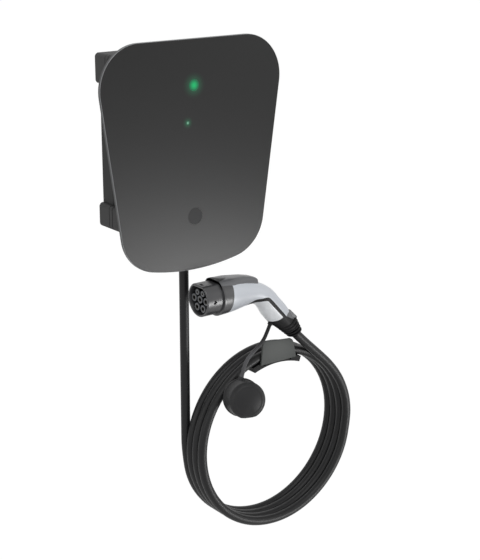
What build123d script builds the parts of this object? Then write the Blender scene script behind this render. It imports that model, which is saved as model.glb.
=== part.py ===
from build123d import *
import os
from math import cos, pi, radians, sin, sqrt, tan

# A wall charging station for electric cars: a flat front panel on a two-shell housing, a fixed
# charging cable that hangs in a coil on its wall hanger, and the vehicle connector on its end.
# X runs to the right, Z up and Y into the wall. The wall is the plane y = 0, and the origin is the
# centre of the four wall screws of the housing. Depths are counted from the wall to the front.

# Front panel
panel_height = 370.0
panel_top_width = 360.8
panel_bottom_width = 255.9
panel_corner_radius = 69.6
panel_foot_radius = 395.0
panel_thickness = 5.0
panel_edge_chamfer = 0.8
panel_drop = 24.0
box_depth = 100.0

# Housing shells
housing_height = 277.0
housing_width = 224.0
cap_width = 239.6
top_cap_height = 47.5
bottom_cap_height = 39.0
cap_corner_radius = 6.5
rear_shell_depth = 33.3
housing_wall = 3.0
rear_edge_chamfer = 4.0
front_edge_chamfer = 1.5
seal_thickness = 1.2
seal_recess = 0.8
panel_gap = 2.0
cap_groove_depth = 42.0
cap_groove_width = 1.4
cap_groove_sink = 1.0

# Screws that close the housing
post_inset_x = 18.8
post_inset_z = 16.5
post_diameter = 11.0
tube_diameter = 13.0
counterbore_diameter = 9.0
cover_screw_diameter = 4.0
cover_screw_length = 20.0
cover_screw_head = 7.6
cover_screw_head_height = 2.6
cover_screw_seat = 10.0
screw_clearance = 0.25

# Wall fixing
wall_hole_span_x = 160.0
wall_hole_span_z = 200.0
wall_hole_diameter = 6.5
wall_pad_diameter = 18.0
wall_pad_height = 1.5

# Panel pegs in rubber grommets
peg_span_x = 140.0
peg_span_z = 190.0
peg_diameter = 8.0
grommet_sleeve_diameter = 12.0
grommet_flange_diameter = 16.0
grommet_depth = 7.0

# Lights and card reader
light_height = 89.0
light_diameter = 18.0
light_stem_diameter = 8.0
light_stem_length = 8.0
small_light_x = -12.5
small_light_height = 31.0
small_light_diameter = 5.0
small_stem_diameter = 3.0
reader_rise = 17.9
reader_diameter = 27.0
reader_thickness = 1.5
fit_gap = 0.2

# Circuit boards
board_thickness = 1.6
led_board_width = 60.0
led_board_height = 86.0
reader_board_width = 56.0
reader_board_height = 28.0
front_board_gap = 4.4
led_package_height = 1.0
main_board_width = 160.0
main_board_height = 66.0
main_board_drop = 52.5
main_board_depth = 60.0
spacer_diameter = 7.0
spacer_inset = 6.0
board_peg_diameter = 2.8
peg_stand = 1.4
peg_overlap = 1.0

# Rail and the devices on it
rail_height = -16.0
rail_length = 196.0
rail_width = 35.0
rail_inner_width = 27.0
rail_depth = 7.5
rail_sheet = 1.0
rail_standoff = 5.0
rail_boss_diameter = 12.0
rail_boss_inset = 9.0
rail_screw_diameter = 4.0
rail_screw_head = 8.0
rail_screw_head_height = 2.4
rail_screw_length = 6.0
device_height = 85.0
device_nose_height = 45.0
device_body_depth = 44.0
device_nose_depth = 14.0
device_gap = 0.5
contactor_width = 45.0
leakage_monitor_width = 36.0
meter_width = 54.0
terminal_count = 5
terminal_pitch = 8.0
terminal_height = 50.0
terminal_depth = 42.0

# Cable glands
gland_depth = 65.0
gland_hex = 30.0
gland_hex_height = 6.0
gland_thread = 25.0
gland_thread_length = 13.0
gland_nut_height = 6.0
gland_dome_diameter = 29.0
gland_dome_mouth = 21.0
gland_dome_height = 19.5
supply_gland_x = -62.0
supply_bore = 14.0
vent_x = 62.0
vent_diameter = 18.0
vent_height = 5.0
vent_stem_diameter = 11.5
vent_stem_length = 9.0

# Charging cable
cable_diameter = 16.1
cable_x = 0.0
sheath_length_inside = 12.0
core_diameter = 4.6
core_count = 5
phase_count = 3
core_circle_diameter = 9.4
earth_core_share = 0.9
coil_radius = 156.0
coil_centre_z = -537.0
coil_turns = 3.5
coil_low_strands = 4.5

# Cable hanger on the wall
hanger_plate_x = 143.0
hanger_plate_top_z = -430.0
hanger_plate_width = 38.0
hanger_plate_height = 40.0
hanger_plate_thickness = 5.0
hanger_plate_radius = 6.0
hanger_hole_span_x = 24.0
hanger_hole_span_z = 26.0
hanger_hole_diameter = 5.5
saddle_thickness = 10.0
saddle_half_angle = 20.5
saddle_back_depth = 56.0
saddle_depth = 118.0
saddle_seat_gap = 0.3
arm_width = 11.0
arm_root_top = 33.0
arm_root_bottom = 63.0
arm_tip_height = 9.0
arm_overlap = 16.0
lip_thickness = 3.0
lip_top_width = 52.0
lip_bottom_width = 77.0
lip_rise = 28.5
lip_radius = 3.0
lip_peg_diameter = 5.0
lip_peg_length = 6.0
lip_peg_span = 56.0

# Vehicle connector
nose_face_x = -11.2
nose_axis_z = -254.0
nose_diameter = 56.4
nose_length = 31.0
nose_wall = 2.6
nose_flat_height = 24.4
nose_face_depth = 26.0
nose_slot_width = 4.0
nose_slot_length = 5.0
lock_hole_diameter = 5.0
lock_hole_setback = 14.0
tower_setback = 3.6
tower_height = 16.0
insert_base = 6.0
power_tower_diameter = 12.4
signal_tower_diameter = 9.4
power_sleeve_diameter = 9.0
power_bore_diameter = 6.2
signal_sleeve_diameter = 5.6
signal_bore_diameter = 3.2
sleeve_length = 18.0
contact_pitch = 16.2
low_contact_drop = 13.9
high_contact_rise = 11.2
high_contact_pitch = 14.4
collar_diameter = 64.0
handle_reach = 171.0
handle_drop = 100.5
oval_corners = 24

# Cover over the release lock on top of the connector
fin_length = 88.0
fin_width = 48.0
fin_start_height = 33.0
fin_tip_radius = 6.0
fin_arch_rise = 1.5

# Tab on the back of the handle
tab_width = 20.0

# Strain relief
relief_length = 19.0
relief_start_diameter = 26.0
relief_end_diameter = 20.0
relief_ring_count = 3
relief_ring_height = 2.0
relief_ring_width = 2.6

# Protective cap of the connector and its tether
cap_outer_diameter = 62.4
cap_inner_diameter = 57.4
cap_length = 46.5
cap_end_radius = 9.0
cap_end_wall = 3.0
cap_flat_height = 29.5
cap_middle = (59.7, -154.2, -432.2)
cap_yaw = -19.0
cap_pitch = -12.0
tether_diameter = 6.4
tether_lug_diameter = 9.0
tether_lug_length = 9.0

cut_overrun = 1.0

# Places that follow from the sizes above
front_shell_back = rear_shell_depth + seal_thickness
front_shell_front = box_depth - panel_thickness - panel_gap
front_wall_inside = front_shell_front - housing_wall
panel_back = box_depth - panel_thickness
panel_top_z = panel_height / 2 - panel_drop
panel_bottom_z = -panel_height / 2 - panel_drop
housing_bottom_z = -housing_height / 2
housing_floor_z = housing_bottom_z + housing_wall
post_span_x = cap_width - 2 * post_inset_x
post_span_z = housing_height - 2 * post_inset_z
reader_height = housing_bottom_z + reader_rise
main_board_height_centre = housing_height / 2 - main_board_drop
rail_boss_span = rail_length - 2 * rail_boss_inset
front_board_back = front_wall_inside - front_board_gap - board_thickness
coil_back_depth = gland_depth - cable_diameter / 2
coil_centre_x = cable_x + coil_radius
coil_inner_radius = coil_radius - cable_diameter / 2
coil_outer_radius = coil_radius + cable_diameter / 2
connector_depth = gland_depth + cable_diameter * coil_turns
gland_mouth_z = housing_bottom_z - gland_hex_height - gland_dome_height

# Shape of the handle, counted from the collar: way along the reach, way down the drop, tilt in
# degrees, thickness and width as shares of the collar
handle_section_shares = [
    (0.000, 0.000, 0.0, 1.000, 1.000),
    (0.164, 0.012, 0.0, 0.915, 0.920),
    (0.327, 0.040, -2.0, 0.705, 0.760),
    (0.444, 0.066, -8.0, 0.600, 0.680),
    (0.544, 0.135, -26.0, 0.580, 0.640),
    (0.617, 0.240, -42.0, 0.610, 0.620),
    (0.678, 0.375, -46.0, 0.645, 0.620),
    (0.760, 0.532, -46.0, 0.650, 0.600),
    (0.845, 0.682, -46.0, 0.550, 0.540),
    (0.937, 0.841, -50.0, 0.455, 0.455),
]
sleeve_edge_shares = [(0.190, -0.60), (0.108, 0.06), (0.115, 0.60)]
stripe_outer_shares = [
    (0.210, 0.420), (0.371, 0.165), (0.504, 0.146), (0.566, 0.148), (0.609, 0.197),
    (0.690, 0.346), (0.804, 0.560),
]
stripe_inner_shares = [
    (0.760, 0.560), (0.665, 0.390), (0.584, 0.240), (0.553, 0.208), (0.492, 0.208),
    (0.407, 0.225), (0.395, 0.420),
]
lower_edge_shares = [
    (0.560, 0.700), (0.650, 0.640), (0.716, 0.605), (0.760, 0.560), (0.804, 0.560),
    (0.977, 0.715), (1.150, 0.600),
]
clip_shares = [(0.804, 0.560), (0.825, 0.525), (0.960, 0.470), (1.150, 0.600), (0.977, 0.715)]
tab_shares = [
    (0.790, 0.560), (0.865, 0.487), (0.895, 0.495), (0.985, 0.648), (0.968, 0.700), (0.920, 0.730),
]
fin_top_shares = [(0.0, 0.86), (0.30, 0.80), (0.62, 0.68), (0.80, 0.56), (1.0, 0.37)]
fin_plan_shares = [(0.0, 1.0), (0.30, 0.92), (0.65, 0.52), (1.0, 0.36)]
fin_foot_share = 0.10

# Components on the control board as shares of the board's width: x, z, width, height and depth of
# the blocks, and x, z, diameter and depth of the round ones
board_block_shares = [
    (-0.288, 0.038, 0.212, 0.175, 0.119), (-0.075, 0.075, 0.112, 0.094, 0.100),
    (0.056, 0.075, 0.112, 0.094, 0.100), (0.244, 0.000, 0.100, 0.100, 0.025),
    (-0.062, -0.131, 0.288, 0.062, 0.069), (0.269, -0.131, 0.175, 0.062, 0.069),
]
board_can_shares = [(0.162, 0.125, 0.062, 0.112), (0.350, 0.125, 0.062, 0.112)]
chip_side_share = 0.8
rib_height_share = 0.8
spacer_foot_share = 1.4
core_straight_share = 0.3
arc_run_share = 0.45

# Routes of the two cords, chosen by hand: x, y and z of each point
tail_route = [
    (312.0, -121.35, -537.0),
    (312.0, -121.35, -508.0),
    (299.5, -121.35, -481.0),
    (284.0, -121.35, -453.0),
    (262.0, -121.35, -425.0),
    (236.0, -121.35, -400.0),
    (210.24, -121.35, -374.52),
    (192.25, -121.35, -353.08),
]
tether_route = [
    (135.6, -121.63, -326.0),
    (128.5, -123.5, -337.0),
    (117.5, -126.5, -350.5),
    (94.0, -129.5, -364.5),
    (81.0, -131.5, -372.5),
    (72.9, -133.0, -385.0),
    (67.4, -134.0, -401.0),
]

FRONT = Plane.XZ


def front_plane(depth):
    """The plane parallel to the wall at a depth, seen from the front."""
    return FRONT.offset(depth)


def prism(plane, sketch, length):
    """A sketch on a plane, extruded along the plane's normal."""
    return extrude(plane * sketch, amount=length, dir=plane.z_dir)


def slab(sketch, depth, thickness):
    """A flat outline, drawn as seen from the front, with its back at a depth."""
    return prism(front_plane(depth), sketch, thickness)


def bar(x, z, depth, diameter, length):
    """A round bar that starts at a depth and points away from the wall."""
    return slab(Pos(x, z) * Circle(diameter / 2), depth, length)


def corners(span_x, span_z):
    """The four corners of a rectangle about the origin."""
    return [(sx * span_x / 2, sz * span_z / 2) for sx in (-1, 1) for sz in (-1, 1)]


def housing_outline(inset=0.0):
    """Front view of the housing: a narrower middle between a top and a bottom cap."""
    top = housing_height / 2 - top_cap_height / 2
    bottom = -housing_height / 2 + bottom_cap_height / 2
    radius = cap_corner_radius - inset
    middle = Rectangle(housing_width - 2 * inset, housing_height - 2 * inset - 2 * radius)
    outline = middle
    for centre, height in ((top, top_cap_height), (bottom, bottom_cap_height)):
        cap = RectangleRounded(cap_width - 2 * inset, height - 2 * inset, radius)
        outline += Pos(0, centre) * cap
    return outline


def rear_shell():
    """Moulded tray that is screwed to the wall."""
    shell = slab(housing_outline(), 0, rear_shell_depth)
    back = shell.faces().sort_by(Axis.Y)[-1]
    shell = chamfer(back.edges(), rear_edge_chamfer)
    shell -= slab(housing_outline(housing_wall), housing_wall, rear_shell_depth)
    for x, z in corners(post_span_x, post_span_z):
        shell += bar(x, z, housing_wall / 2, post_diameter, rear_shell_depth - housing_wall / 2)
    for x, z in corners(wall_hole_span_x, wall_hole_span_z):
        shell += bar(x, z, housing_wall / 2, wall_pad_diameter, housing_wall / 2 + wall_pad_height)
    for side in (-1, 1):
        x = side * rail_boss_span / 2
        boss = rail_standoff + housing_wall / 2
        shell += bar(x, rail_height, housing_wall / 2, rail_boss_diameter, boss)
    for x, z in board_corners(main_board_width, main_board_height, main_board_height_centre):
        shell += bar(x, z, housing_wall / 2, spacer_diameter * spacer_foot_share,
                     housing_wall / 2 + wall_pad_height)
    hole_depth = rear_shell_depth - cover_screw_length + cover_screw_seat + seal_thickness
    for x, z in corners(post_span_x, post_span_z):
        shell -= bar(x, z, hole_depth - cut_overrun, cover_screw_diameter, rear_shell_depth)
    for x, z in corners(wall_hole_span_x, wall_hole_span_z):
        shell -= bar(x, z, -cut_overrun, wall_hole_diameter, rear_shell_depth)
    for side in (-1, 1):
        x = side * rail_boss_span / 2
        start = housing_wall + rail_standoff - rail_screw_length
        shell -= bar(x, rail_height, start, rail_screw_diameter, rear_shell_depth)
    return shell


def front_shell():
    """Moulded hood with a closed front, which carries the panel, the lights and the glands."""
    depth = front_shell_front - front_shell_back
    shell = slab(housing_outline(), front_shell_back, depth)
    front = shell.faces().sort_by(Axis.Y)[0]
    shell = chamfer(front.edges(), front_edge_chamfer)
    shell -= slab(housing_outline(housing_wall), front_shell_back - cut_overrun,
                  depth - housing_wall + cut_overrun)
    groove = slab(housing_outline() - housing_outline(cap_groove_sink), cap_groove_depth,
                  cap_groove_width)
    band = slab(Rectangle(2 * cap_width, housing_height - 2 * bottom_cap_height),
                cap_groove_depth - cut_overrun, cap_groove_width + 2 * cut_overrun)
    shell -= groove - band
    for x, z in corners(post_span_x, post_span_z):
        shell += bar(x, z, front_shell_back, tube_diameter, depth - housing_wall / 2)
    for x, z, _ in front_board_points():
        shell += bar(x, z, front_wall_inside - front_board_gap, spacer_diameter,
                     front_board_gap + housing_wall / 2)
        shell += bar(x, z, front_board_back - peg_stand, board_peg_diameter,
                     peg_stand + board_thickness + peg_overlap)
    for x, z in corners(post_span_x, post_span_z):
        hole = cover_screw_diameter + 2 * screw_clearance
        shell -= bar(x, z, front_shell_back - cut_overrun, hole, depth)
        shell -= bar(x, z, front_shell_back + cover_screw_seat, counterbore_diameter, depth)
    for x, z in corners(peg_span_x, peg_span_z):
        shell -= bar(x, z, front_wall_inside - cut_overrun, grommet_sleeve_diameter,
                     housing_wall + 2 * cut_overrun)
    for x, z, diameter in light_stems():
        shell -= bar(x, z, front_wall_inside - cut_overrun, diameter + 2 * fit_gap,
                     housing_wall + 2 * cut_overrun)
    for x, diameter in ((cable_x, gland_thread), (supply_gland_x, gland_thread),
                        (vent_x, vent_stem_diameter)):
        shell -= down_bar(x, housing_floor_z + cut_overrun, diameter + 2 * fit_gap,
                          housing_wall + 2 * cut_overrun)
    return shell


def board_corners(width, height, centre_z):
    """The four fixing holes of a board, inset from its corners."""
    return [(x, centre_z + z)
            for x, z in corners(width - 2 * spacer_inset, height - 2 * spacer_inset)]


def led_board_centre():
    """Middle between the two lights, so that one board serves both."""
    return (light_height + small_light_height) / 2


def front_board_points():
    """Peg places of the two boards behind the front, with the board's name."""
    reach_x = led_board_width / 2 - spacer_inset
    reach_z = led_board_height / 2 - spacer_inset
    places = [(reach_x, led_board_centre() + side * reach_z, "led") for side in (-1, 1)]
    reach_x = reader_board_width / 2 - spacer_inset
    places += [(side * reach_x, reader_height, "reader") for side in (-1, 1)]
    return places


def light_stems():
    """Places and diameters of the light pipes."""
    return [(0, light_height, light_stem_diameter),
            (small_light_x, small_light_height, small_stem_diameter)]


def down_bar(x, top_z, diameter, length, depth=gland_depth):
    """A round bar that hangs straight down from a height, at a depth from the wall."""
    return prism(Plane(origin=(x, -depth, top_z), z_dir=(0, 0, -1)), Circle(diameter / 2), length)


def down_hex(x, top_z, across_flats, length, depth=gland_depth):
    """A hexagonal bar that hangs straight down from a height."""
    hexagon = RegularPolygon(across_flats / 2, 6, major_radius=False)
    return prism(Plane(origin=(x, -depth, top_z), z_dir=(0, 0, -1)), hexagon, length)


def seal():
    """Rubber seal between the two shells, set back to leave a shadow line."""
    ring = housing_outline(seal_recess) - housing_outline(housing_wall)
    return slab(ring, rear_shell_depth, seal_thickness)


def cover_screws():
    """Four pan-head screws at the bottom of the hood's deep counterbores."""
    seat = front_shell_back + cover_screw_seat
    screws = []
    for x, z in corners(post_span_x, post_span_z):
        screw = bar(x, z, seat - cover_screw_length, cover_screw_diameter, cover_screw_length)
        head = bar(x, z, seat, cover_screw_head, cover_screw_head_height)
        screws.append(screw + head)
    return screws


def panel_outline():
    """Front view of the panel: tapering sides, large round corners and a bowed foot."""
    blank = Polygon((-panel_top_width / 2, panel_top_z), (panel_top_width / 2, panel_top_z),
                    (panel_bottom_width / 2, panel_bottom_z),
                    (-panel_bottom_width / 2, panel_bottom_z), align=None)
    outline = blank & Pos(0, panel_bottom_z + panel_foot_radius) * Circle(panel_foot_radius)
    return fillet(outline.vertices(), panel_corner_radius)


def front_panel():
    """Flat plate with a bright bevelled edge and four pegs on its back."""
    panel = slab(panel_outline(), panel_back, panel_thickness)
    panel = chamfer(panel.faces().sort_by(Axis.Y)[0].edges(), panel_edge_chamfer)
    for x, z in corners(peg_span_x, peg_span_z):
        panel += bar(x, z, panel_back - grommet_depth, peg_diameter,
                     grommet_depth + panel_thickness / 2)
    for x, z, diameter in ((0, light_height, light_diameter),
                           (small_light_x, small_light_height, small_light_diameter)):
        panel -= bar(x, z, panel_back - cut_overrun, diameter + 2 * fit_gap,
                     panel_thickness + 2 * cut_overrun)
    panel -= bar(0, reader_height, box_depth - reader_thickness, reader_diameter + 2 * fit_gap,
                 reader_thickness + cut_overrun)
    return panel


def grommets():
    """Four rubber grommets in the hood, which grip the panel's pegs."""
    rings = []
    for x, z in corners(peg_span_x, peg_span_z):
        ring = bar(x, z, panel_back - grommet_depth, grommet_sleeve_diameter,
                   grommet_depth - panel_gap)
        ring += bar(x, z, front_shell_front, grommet_flange_diameter, panel_gap)
        ring -= bar(x, z, front_wall_inside - grommet_depth, peg_diameter, 2 * grommet_depth)
        rings.append(ring)
    return rings


def light(x, z, diameter, stem_diameter):
    """Lens that lies flush in the panel, with a light pipe to its diode."""
    stem = light_stem_length - front_board_gap
    lens = bar(x, z, panel_back, diameter, panel_thickness)
    lens += bar(x, z, front_wall_inside - stem + fit_gap, stem_diameter,
                panel_back - front_wall_inside + stem)
    return lens


def reader_disc():
    """Flush disc that marks where a card is held."""
    return bar(0, reader_height, box_depth - reader_thickness, reader_diameter, reader_thickness)


def led_board():
    """Board with one diode behind each light pipe."""
    board = slab(Pos(0, led_board_centre()) * Rectangle(led_board_width, led_board_height),
                 front_board_back, board_thickness)
    top = front_board_back + board_thickness
    for x, z, diameter in light_stems():
        chip = slab(Pos(x, z) * Rectangle(diameter * chip_side_share,
                                                diameter * chip_side_share), top,
                    led_package_height)
        board += chip
    return board - front_board_holes("led")


def reader_board():
    """Aerial board of the card reader."""
    board = slab(Pos(0, reader_height) * Rectangle(reader_board_width, reader_board_height),
                 front_board_back, board_thickness)
    return board - front_board_holes("reader")


def front_board_holes(name):
    """Peg holes of one of the boards behind the front."""
    holes = [bar(x, z, front_board_back - cut_overrun, board_peg_diameter + 2 * fit_gap,
                 board_thickness + 2 * cut_overrun)
             for x, z, board in front_board_points() if board == name]
    return Part() + holes


def main_board():
    """Control board over the rear shell, with its power supply, relays and plug rows."""
    centre = main_board_height_centre
    board = slab(Pos(0, centre) * Rectangle(main_board_width, main_board_height),
                 main_board_depth, board_thickness)
    for x, z in board_corners(main_board_width, main_board_height, centre):
        board -= bar(x, z, main_board_depth - cut_overrun, board_peg_diameter + 2 * fit_gap,
                     board_thickness + 2 * cut_overrun)
    return board


def board_parts():
    """The large components on the control board."""
    front = main_board_depth + board_thickness
    size = main_board_width
    centre = main_board_height_centre
    parts = []
    for x, z, width, height, depth in board_block_shares:
        block = slab(Pos(x * size, centre + z * size) * Rectangle(width * size, height * size),
                     front, depth * size)
        parts.append(block)
    for x, z, diameter, depth in board_can_shares:
        parts.append(bar(x * size, centre + z * size, front, diameter * size, depth * size))
    return parts


def board_spacers():
    """Four pillars that carry the control board on their pegs."""
    start = housing_wall + wall_pad_height
    pillars = []
    for x, z in board_corners(main_board_width, main_board_height, main_board_height_centre):
        pillar = bar(x, z, start, spacer_diameter, main_board_depth - start)
        pillar += bar(x, z, main_board_depth - peg_overlap, board_peg_diameter,
                      peg_overlap + board_thickness + peg_stand)
        pillars.append(pillar)
    return pillars


def rail():
    """Top-hat rail across the rear shell."""
    outer = rail_width / 2
    inner = rail_inner_width / 2
    back = housing_wall + rail_standoff
    front = back + rail_depth
    side = Plane(origin=(-rail_length / 2, 0, rail_height), x_dir=(0, -1, 0), z_dir=(1, 0, 0))
    half = [(front, outer), (front, inner - rail_sheet), (back + rail_sheet, inner - rail_sheet),
            (back + rail_sheet, 0), (back, 0), (back, inner), (front - rail_sheet, inner),
            (front - rail_sheet, outer)]
    mirrored = [(a, -b) for a, b in half]
    profile = Polygon(*half, align=None) + Polygon(*mirrored[::-1], align=None)
    body = prism(side, profile, rail_length)
    for end in (-1, 1):
        body -= bar(end * rail_boss_span / 2, rail_height, back - cut_overrun,
                    rail_screw_diameter + 2 * fit_gap, rail_sheet + 2 * cut_overrun)
    return body


def rail_screws():
    """Two screws that hold the rail to its bosses."""
    face = housing_wall + rail_standoff + rail_sheet
    screws = []
    for side in (-1, 1):
        x = side * rail_boss_span / 2
        screw = bar(x, rail_height, face - rail_sheet - rail_screw_length, rail_screw_diameter,
                    rail_screw_length + rail_sheet)
        screws.append(screw + bar(x, rail_height, face, rail_screw_head, rail_screw_head_height))
    return screws


def rail_device(left, width):
    """Modular device on the rail: a deep body, a narrower nose and rows of screw wells."""
    back = housing_wall + rail_standoff + rail_depth
    step = device_height / 2
    nose = device_nose_height / 2
    body_front = back + device_body_depth
    nose_front = body_front + device_nose_depth
    side = Plane(origin=(left, 0, rail_height), x_dir=(0, -1, 0), z_dir=(1, 0, 0))
    outline = Polygon((back, -step), (body_front, -step), (body_front, -nose),
                      (nose_front, -nose), (nose_front, nose), (body_front, nose),
                      (body_front, step), (back, step), align=None)
    device = prism(side, outline, width)
    wells = int(width // (device_nose_depth + device_gap))
    for row in (-1, 1):
        for index in range(wells):
            x = left + width * (index + 0.5) / wells
            z = rail_height + row * (step + nose) / 2
            well = Pos(x, z) * Rectangle(device_nose_depth / 2, device_nose_depth / 2)
            device -= slab(well, body_front - device_nose_depth / 2, device_nose_depth)
    return device


def device_lefts():
    """Left edges of the three devices and the terminal row, side by side on the rail."""
    widths = [contactor_width, leakage_monitor_width, meter_width,
              terminal_count * terminal_pitch]
    total = sum(widths) + device_gap * (len(widths) - 1)
    left = -total / 2
    places = []
    for width in widths:
        places.append(left)
        left += width + device_gap
    return places


def terminals():
    """Row of supply terminals with a screw well and a wire hole on each."""
    back = housing_wall + rail_standoff + rail_depth
    front = back + terminal_depth
    left = device_lefts()[-1]
    half = terminal_height / 2
    side = Plane(origin=(left, 0, rail_height), x_dir=(0, -1, 0), z_dir=(1, 0, 0))
    shoulder = terminal_depth / 4
    outline = Polygon((back, -half), (front - shoulder, -half), (front, -half + shoulder),
                      (front, half - shoulder), (front - shoulder, half), (back, half),
                      align=None)
    block = prism(side, outline, terminal_count * terminal_pitch)
    for index in range(terminal_count):
        x = left + (index + 0.5) * terminal_pitch
        for row in (-1, 1):
            well = Pos(x, rail_height + row * half / 2) * Rectangle(terminal_pitch / 2,
                                                                    terminal_pitch / 2)
            block -= slab(well, front - shoulder, terminal_depth)
    return block


def gland_body(x):
    """Gland screwed through the hood's floor: hexagon, threaded neck and cable bore."""
    body = down_hex(x, housing_bottom_z, gland_hex, gland_hex_height)
    top = housing_bottom_z + gland_thread_length
    return body + down_bar(x, top, gland_thread, gland_thread_length + gland_hex_height / 2)


def gland_dome(x):
    """Tapering clamp nut under the hexagon."""
    top = housing_bottom_z - gland_hex_height
    straight = gland_dome_height / 2
    dome = down_bar(x, top, gland_dome_diameter, straight)
    ribs = down_hex(x, top, gland_hex, straight * rib_height_share)
    cone = Pos(x, -gland_depth, top - straight - straight / 2) * Cone(
        gland_dome_mouth / 2, gland_dome_diameter / 2, straight)
    return dome + ribs + cone


def gland(x, bore):
    """Whole gland without its lock nut, bored for its cable."""
    top = housing_bottom_z + gland_thread_length + cut_overrun
    reach = gland_thread_length + gland_hex_height + gland_dome_height + 2 * cut_overrun
    hole = down_bar(x, top, bore, reach)
    return gland_body(x) - hole, gland_dome(x) - hole


def gland_nut(x):
    """Lock nut inside the hood."""
    nut = down_hex(x, housing_floor_z + gland_nut_height, gland_hex, gland_nut_height)
    return nut - down_bar(x, housing_floor_z + gland_nut_height + cut_overrun, gland_thread,
                          gland_nut_height + 2 * cut_overrun)


def vent_plug():
    """Plug that lets the housing breathe."""
    plug = down_bar(vent_x, housing_bottom_z, vent_diameter, vent_height)
    plug = chamfer(plug.faces().sort_by(Axis.Z)[0].edges(), vent_height / 5)
    plug += down_bar(vent_x, housing_bottom_z + vent_stem_length, vent_stem_diameter,
                     vent_stem_length + vent_height / 2)
    return plug


def sheath_top_z():
    """Height at which the cable's sheath is stripped inside the housing."""
    return housing_bottom_z + gland_thread_length + sheath_length_inside


def cable_end():
    """Sheath end inside the gland, down to the gland's mouth."""
    return down_bar(cable_x, sheath_top_z(), cable_diameter, sheath_top_z() - gland_mouth_z)


def core_route(index):
    """Route of one core from the sheath end to its terminal under the contactor."""
    angle = 2 * pi * index / core_count
    start_x = cable_x + core_circle_diameter / 2 * cos(angle)
    start_y = -gland_depth + core_circle_diameter / 2 * sin(angle)
    start_z = sheath_top_z()
    step = contactor_width / phase_count
    end_x = device_lefts()[0] + step * (min(index, phase_count - 1) + 0.5)
    end_z = rail_height - device_height / 2
    end_y = -(housing_wall + rail_standoff + rail_depth + device_body_depth / 2)
    if index >= phase_count:
        end_x += (index - phase_count - 0.5) * 2 * core_diameter + step
        end_x += leakage_monitor_width / 2
    return (start_x, start_y, start_z), (end_x, end_y, end_z)


def cable_cores():
    """Five insulated cores inside the housing, in straight runs."""
    cores = []
    for index in range(core_count):
        start, end = core_route(index)
        rise = end[2] - start[2]
        turn = (start[0], start[1], start[2] + rise * core_straight_share)
        land = (end[0], end[1], end[2] - rise * core_straight_share)
        section = Plane(origin=start, z_dir=(0, 0, 1)) * Circle(core_diameter / 2)
        path = Polyline(start, turn, land, end)
        cores.append(sweep(section, path=path, transition=Transition.RIGHT))
    return cores


def cable_drop():
    """Straight fall of the charging cable from its gland to the coil."""
    return down_bar(cable_x, gland_mouth_z, cable_diameter, gland_mouth_z - coil_centre_z)


def route_radii(route):
    """Largest arc that the two runs beside each corner of a route allow."""
    radii = []
    for a, b, c in zip(route, route[1:], route[2:]):
        first = Vector(b) - Vector(a)
        second = Vector(c) - Vector(b)
        turn = radians(first.get_angle(second))
        radii.append(arc_run_share * min(first.length, second.length) / tan(turn / 2))
    return radii


def cord_tube(route, diameter):
    """Tube along straight runs that are joined by tangent arcs."""
    radii = route_radii(route)
    path = FilletPolyline(*route, radius=radii)
    start = Vector(route[0])
    section = Plane(origin=start, z_dir=Vector(route[1]) - start) * Circle(diameter / 2)
    tube = sweep(section, path=path)
    length = path.length
    area = pi * diameter ** 2 / 4
    print("arc radii", [round(r, 1) for r in radii], "length", round(length, 1),
          "volume share", round(tube.volume / (length * area), 4))
    return tube


def tether_lug(end, before):
    """Short lug that a piece grows towards the end of the tether."""
    direction = Vector(end) - Vector(before)
    return prism(Plane(origin=end, z_dir=direction), Circle(tether_lug_diameter / 2),
                 tether_lug_length)


def coil():
    """Outer shape of the hanging coil: four turns beside each other below, three above."""
    ring = Circle(coil_outer_radius) - Circle(coil_inner_radius)
    place = Pos(coil_centre_x, coil_centre_z)
    half = Rectangle(3 * coil_radius, 1.5 * coil_radius)
    below = place * (ring & Pos(0, -0.75 * coil_radius) * half)
    above = place * (ring & Pos(0, 0.75 * coil_radius) * half)
    low = slab(below, coil_back_depth, cable_diameter * coil_low_strands)
    behind_lip = slab(above, coil_back_depth + cable_diameter,
                      saddle_depth - cut_overrun - coil_back_depth - cable_diameter)
    right = Pos(coil_centre_x + coil_radius, coil_centre_z) * Rectangle(
        2 * coil_radius, 4 * coil_radius)
    clear = slab(right, connector_depth - cable_diameter / 2, 2 * cable_diameter)
    return low + (behind_lip - clear)


def saddle_seat_radius():
    """Radius of the saddle's top, just under the coil."""
    return coil_inner_radius - saddle_seat_gap


def hanger_sector(inner, outer, half_angle):
    """Part of a ring about the coil's centre, symmetrical about its top."""
    reach = 2 * outer
    wedge = Polygon((0, 0), (reach * tan(radians(half_angle)), reach),
                    (-reach * tan(radians(half_angle)), reach), align=None)
    return Pos(coil_centre_x, coil_centre_z) * ((Circle(outer) - Circle(inner)) & wedge)


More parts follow.
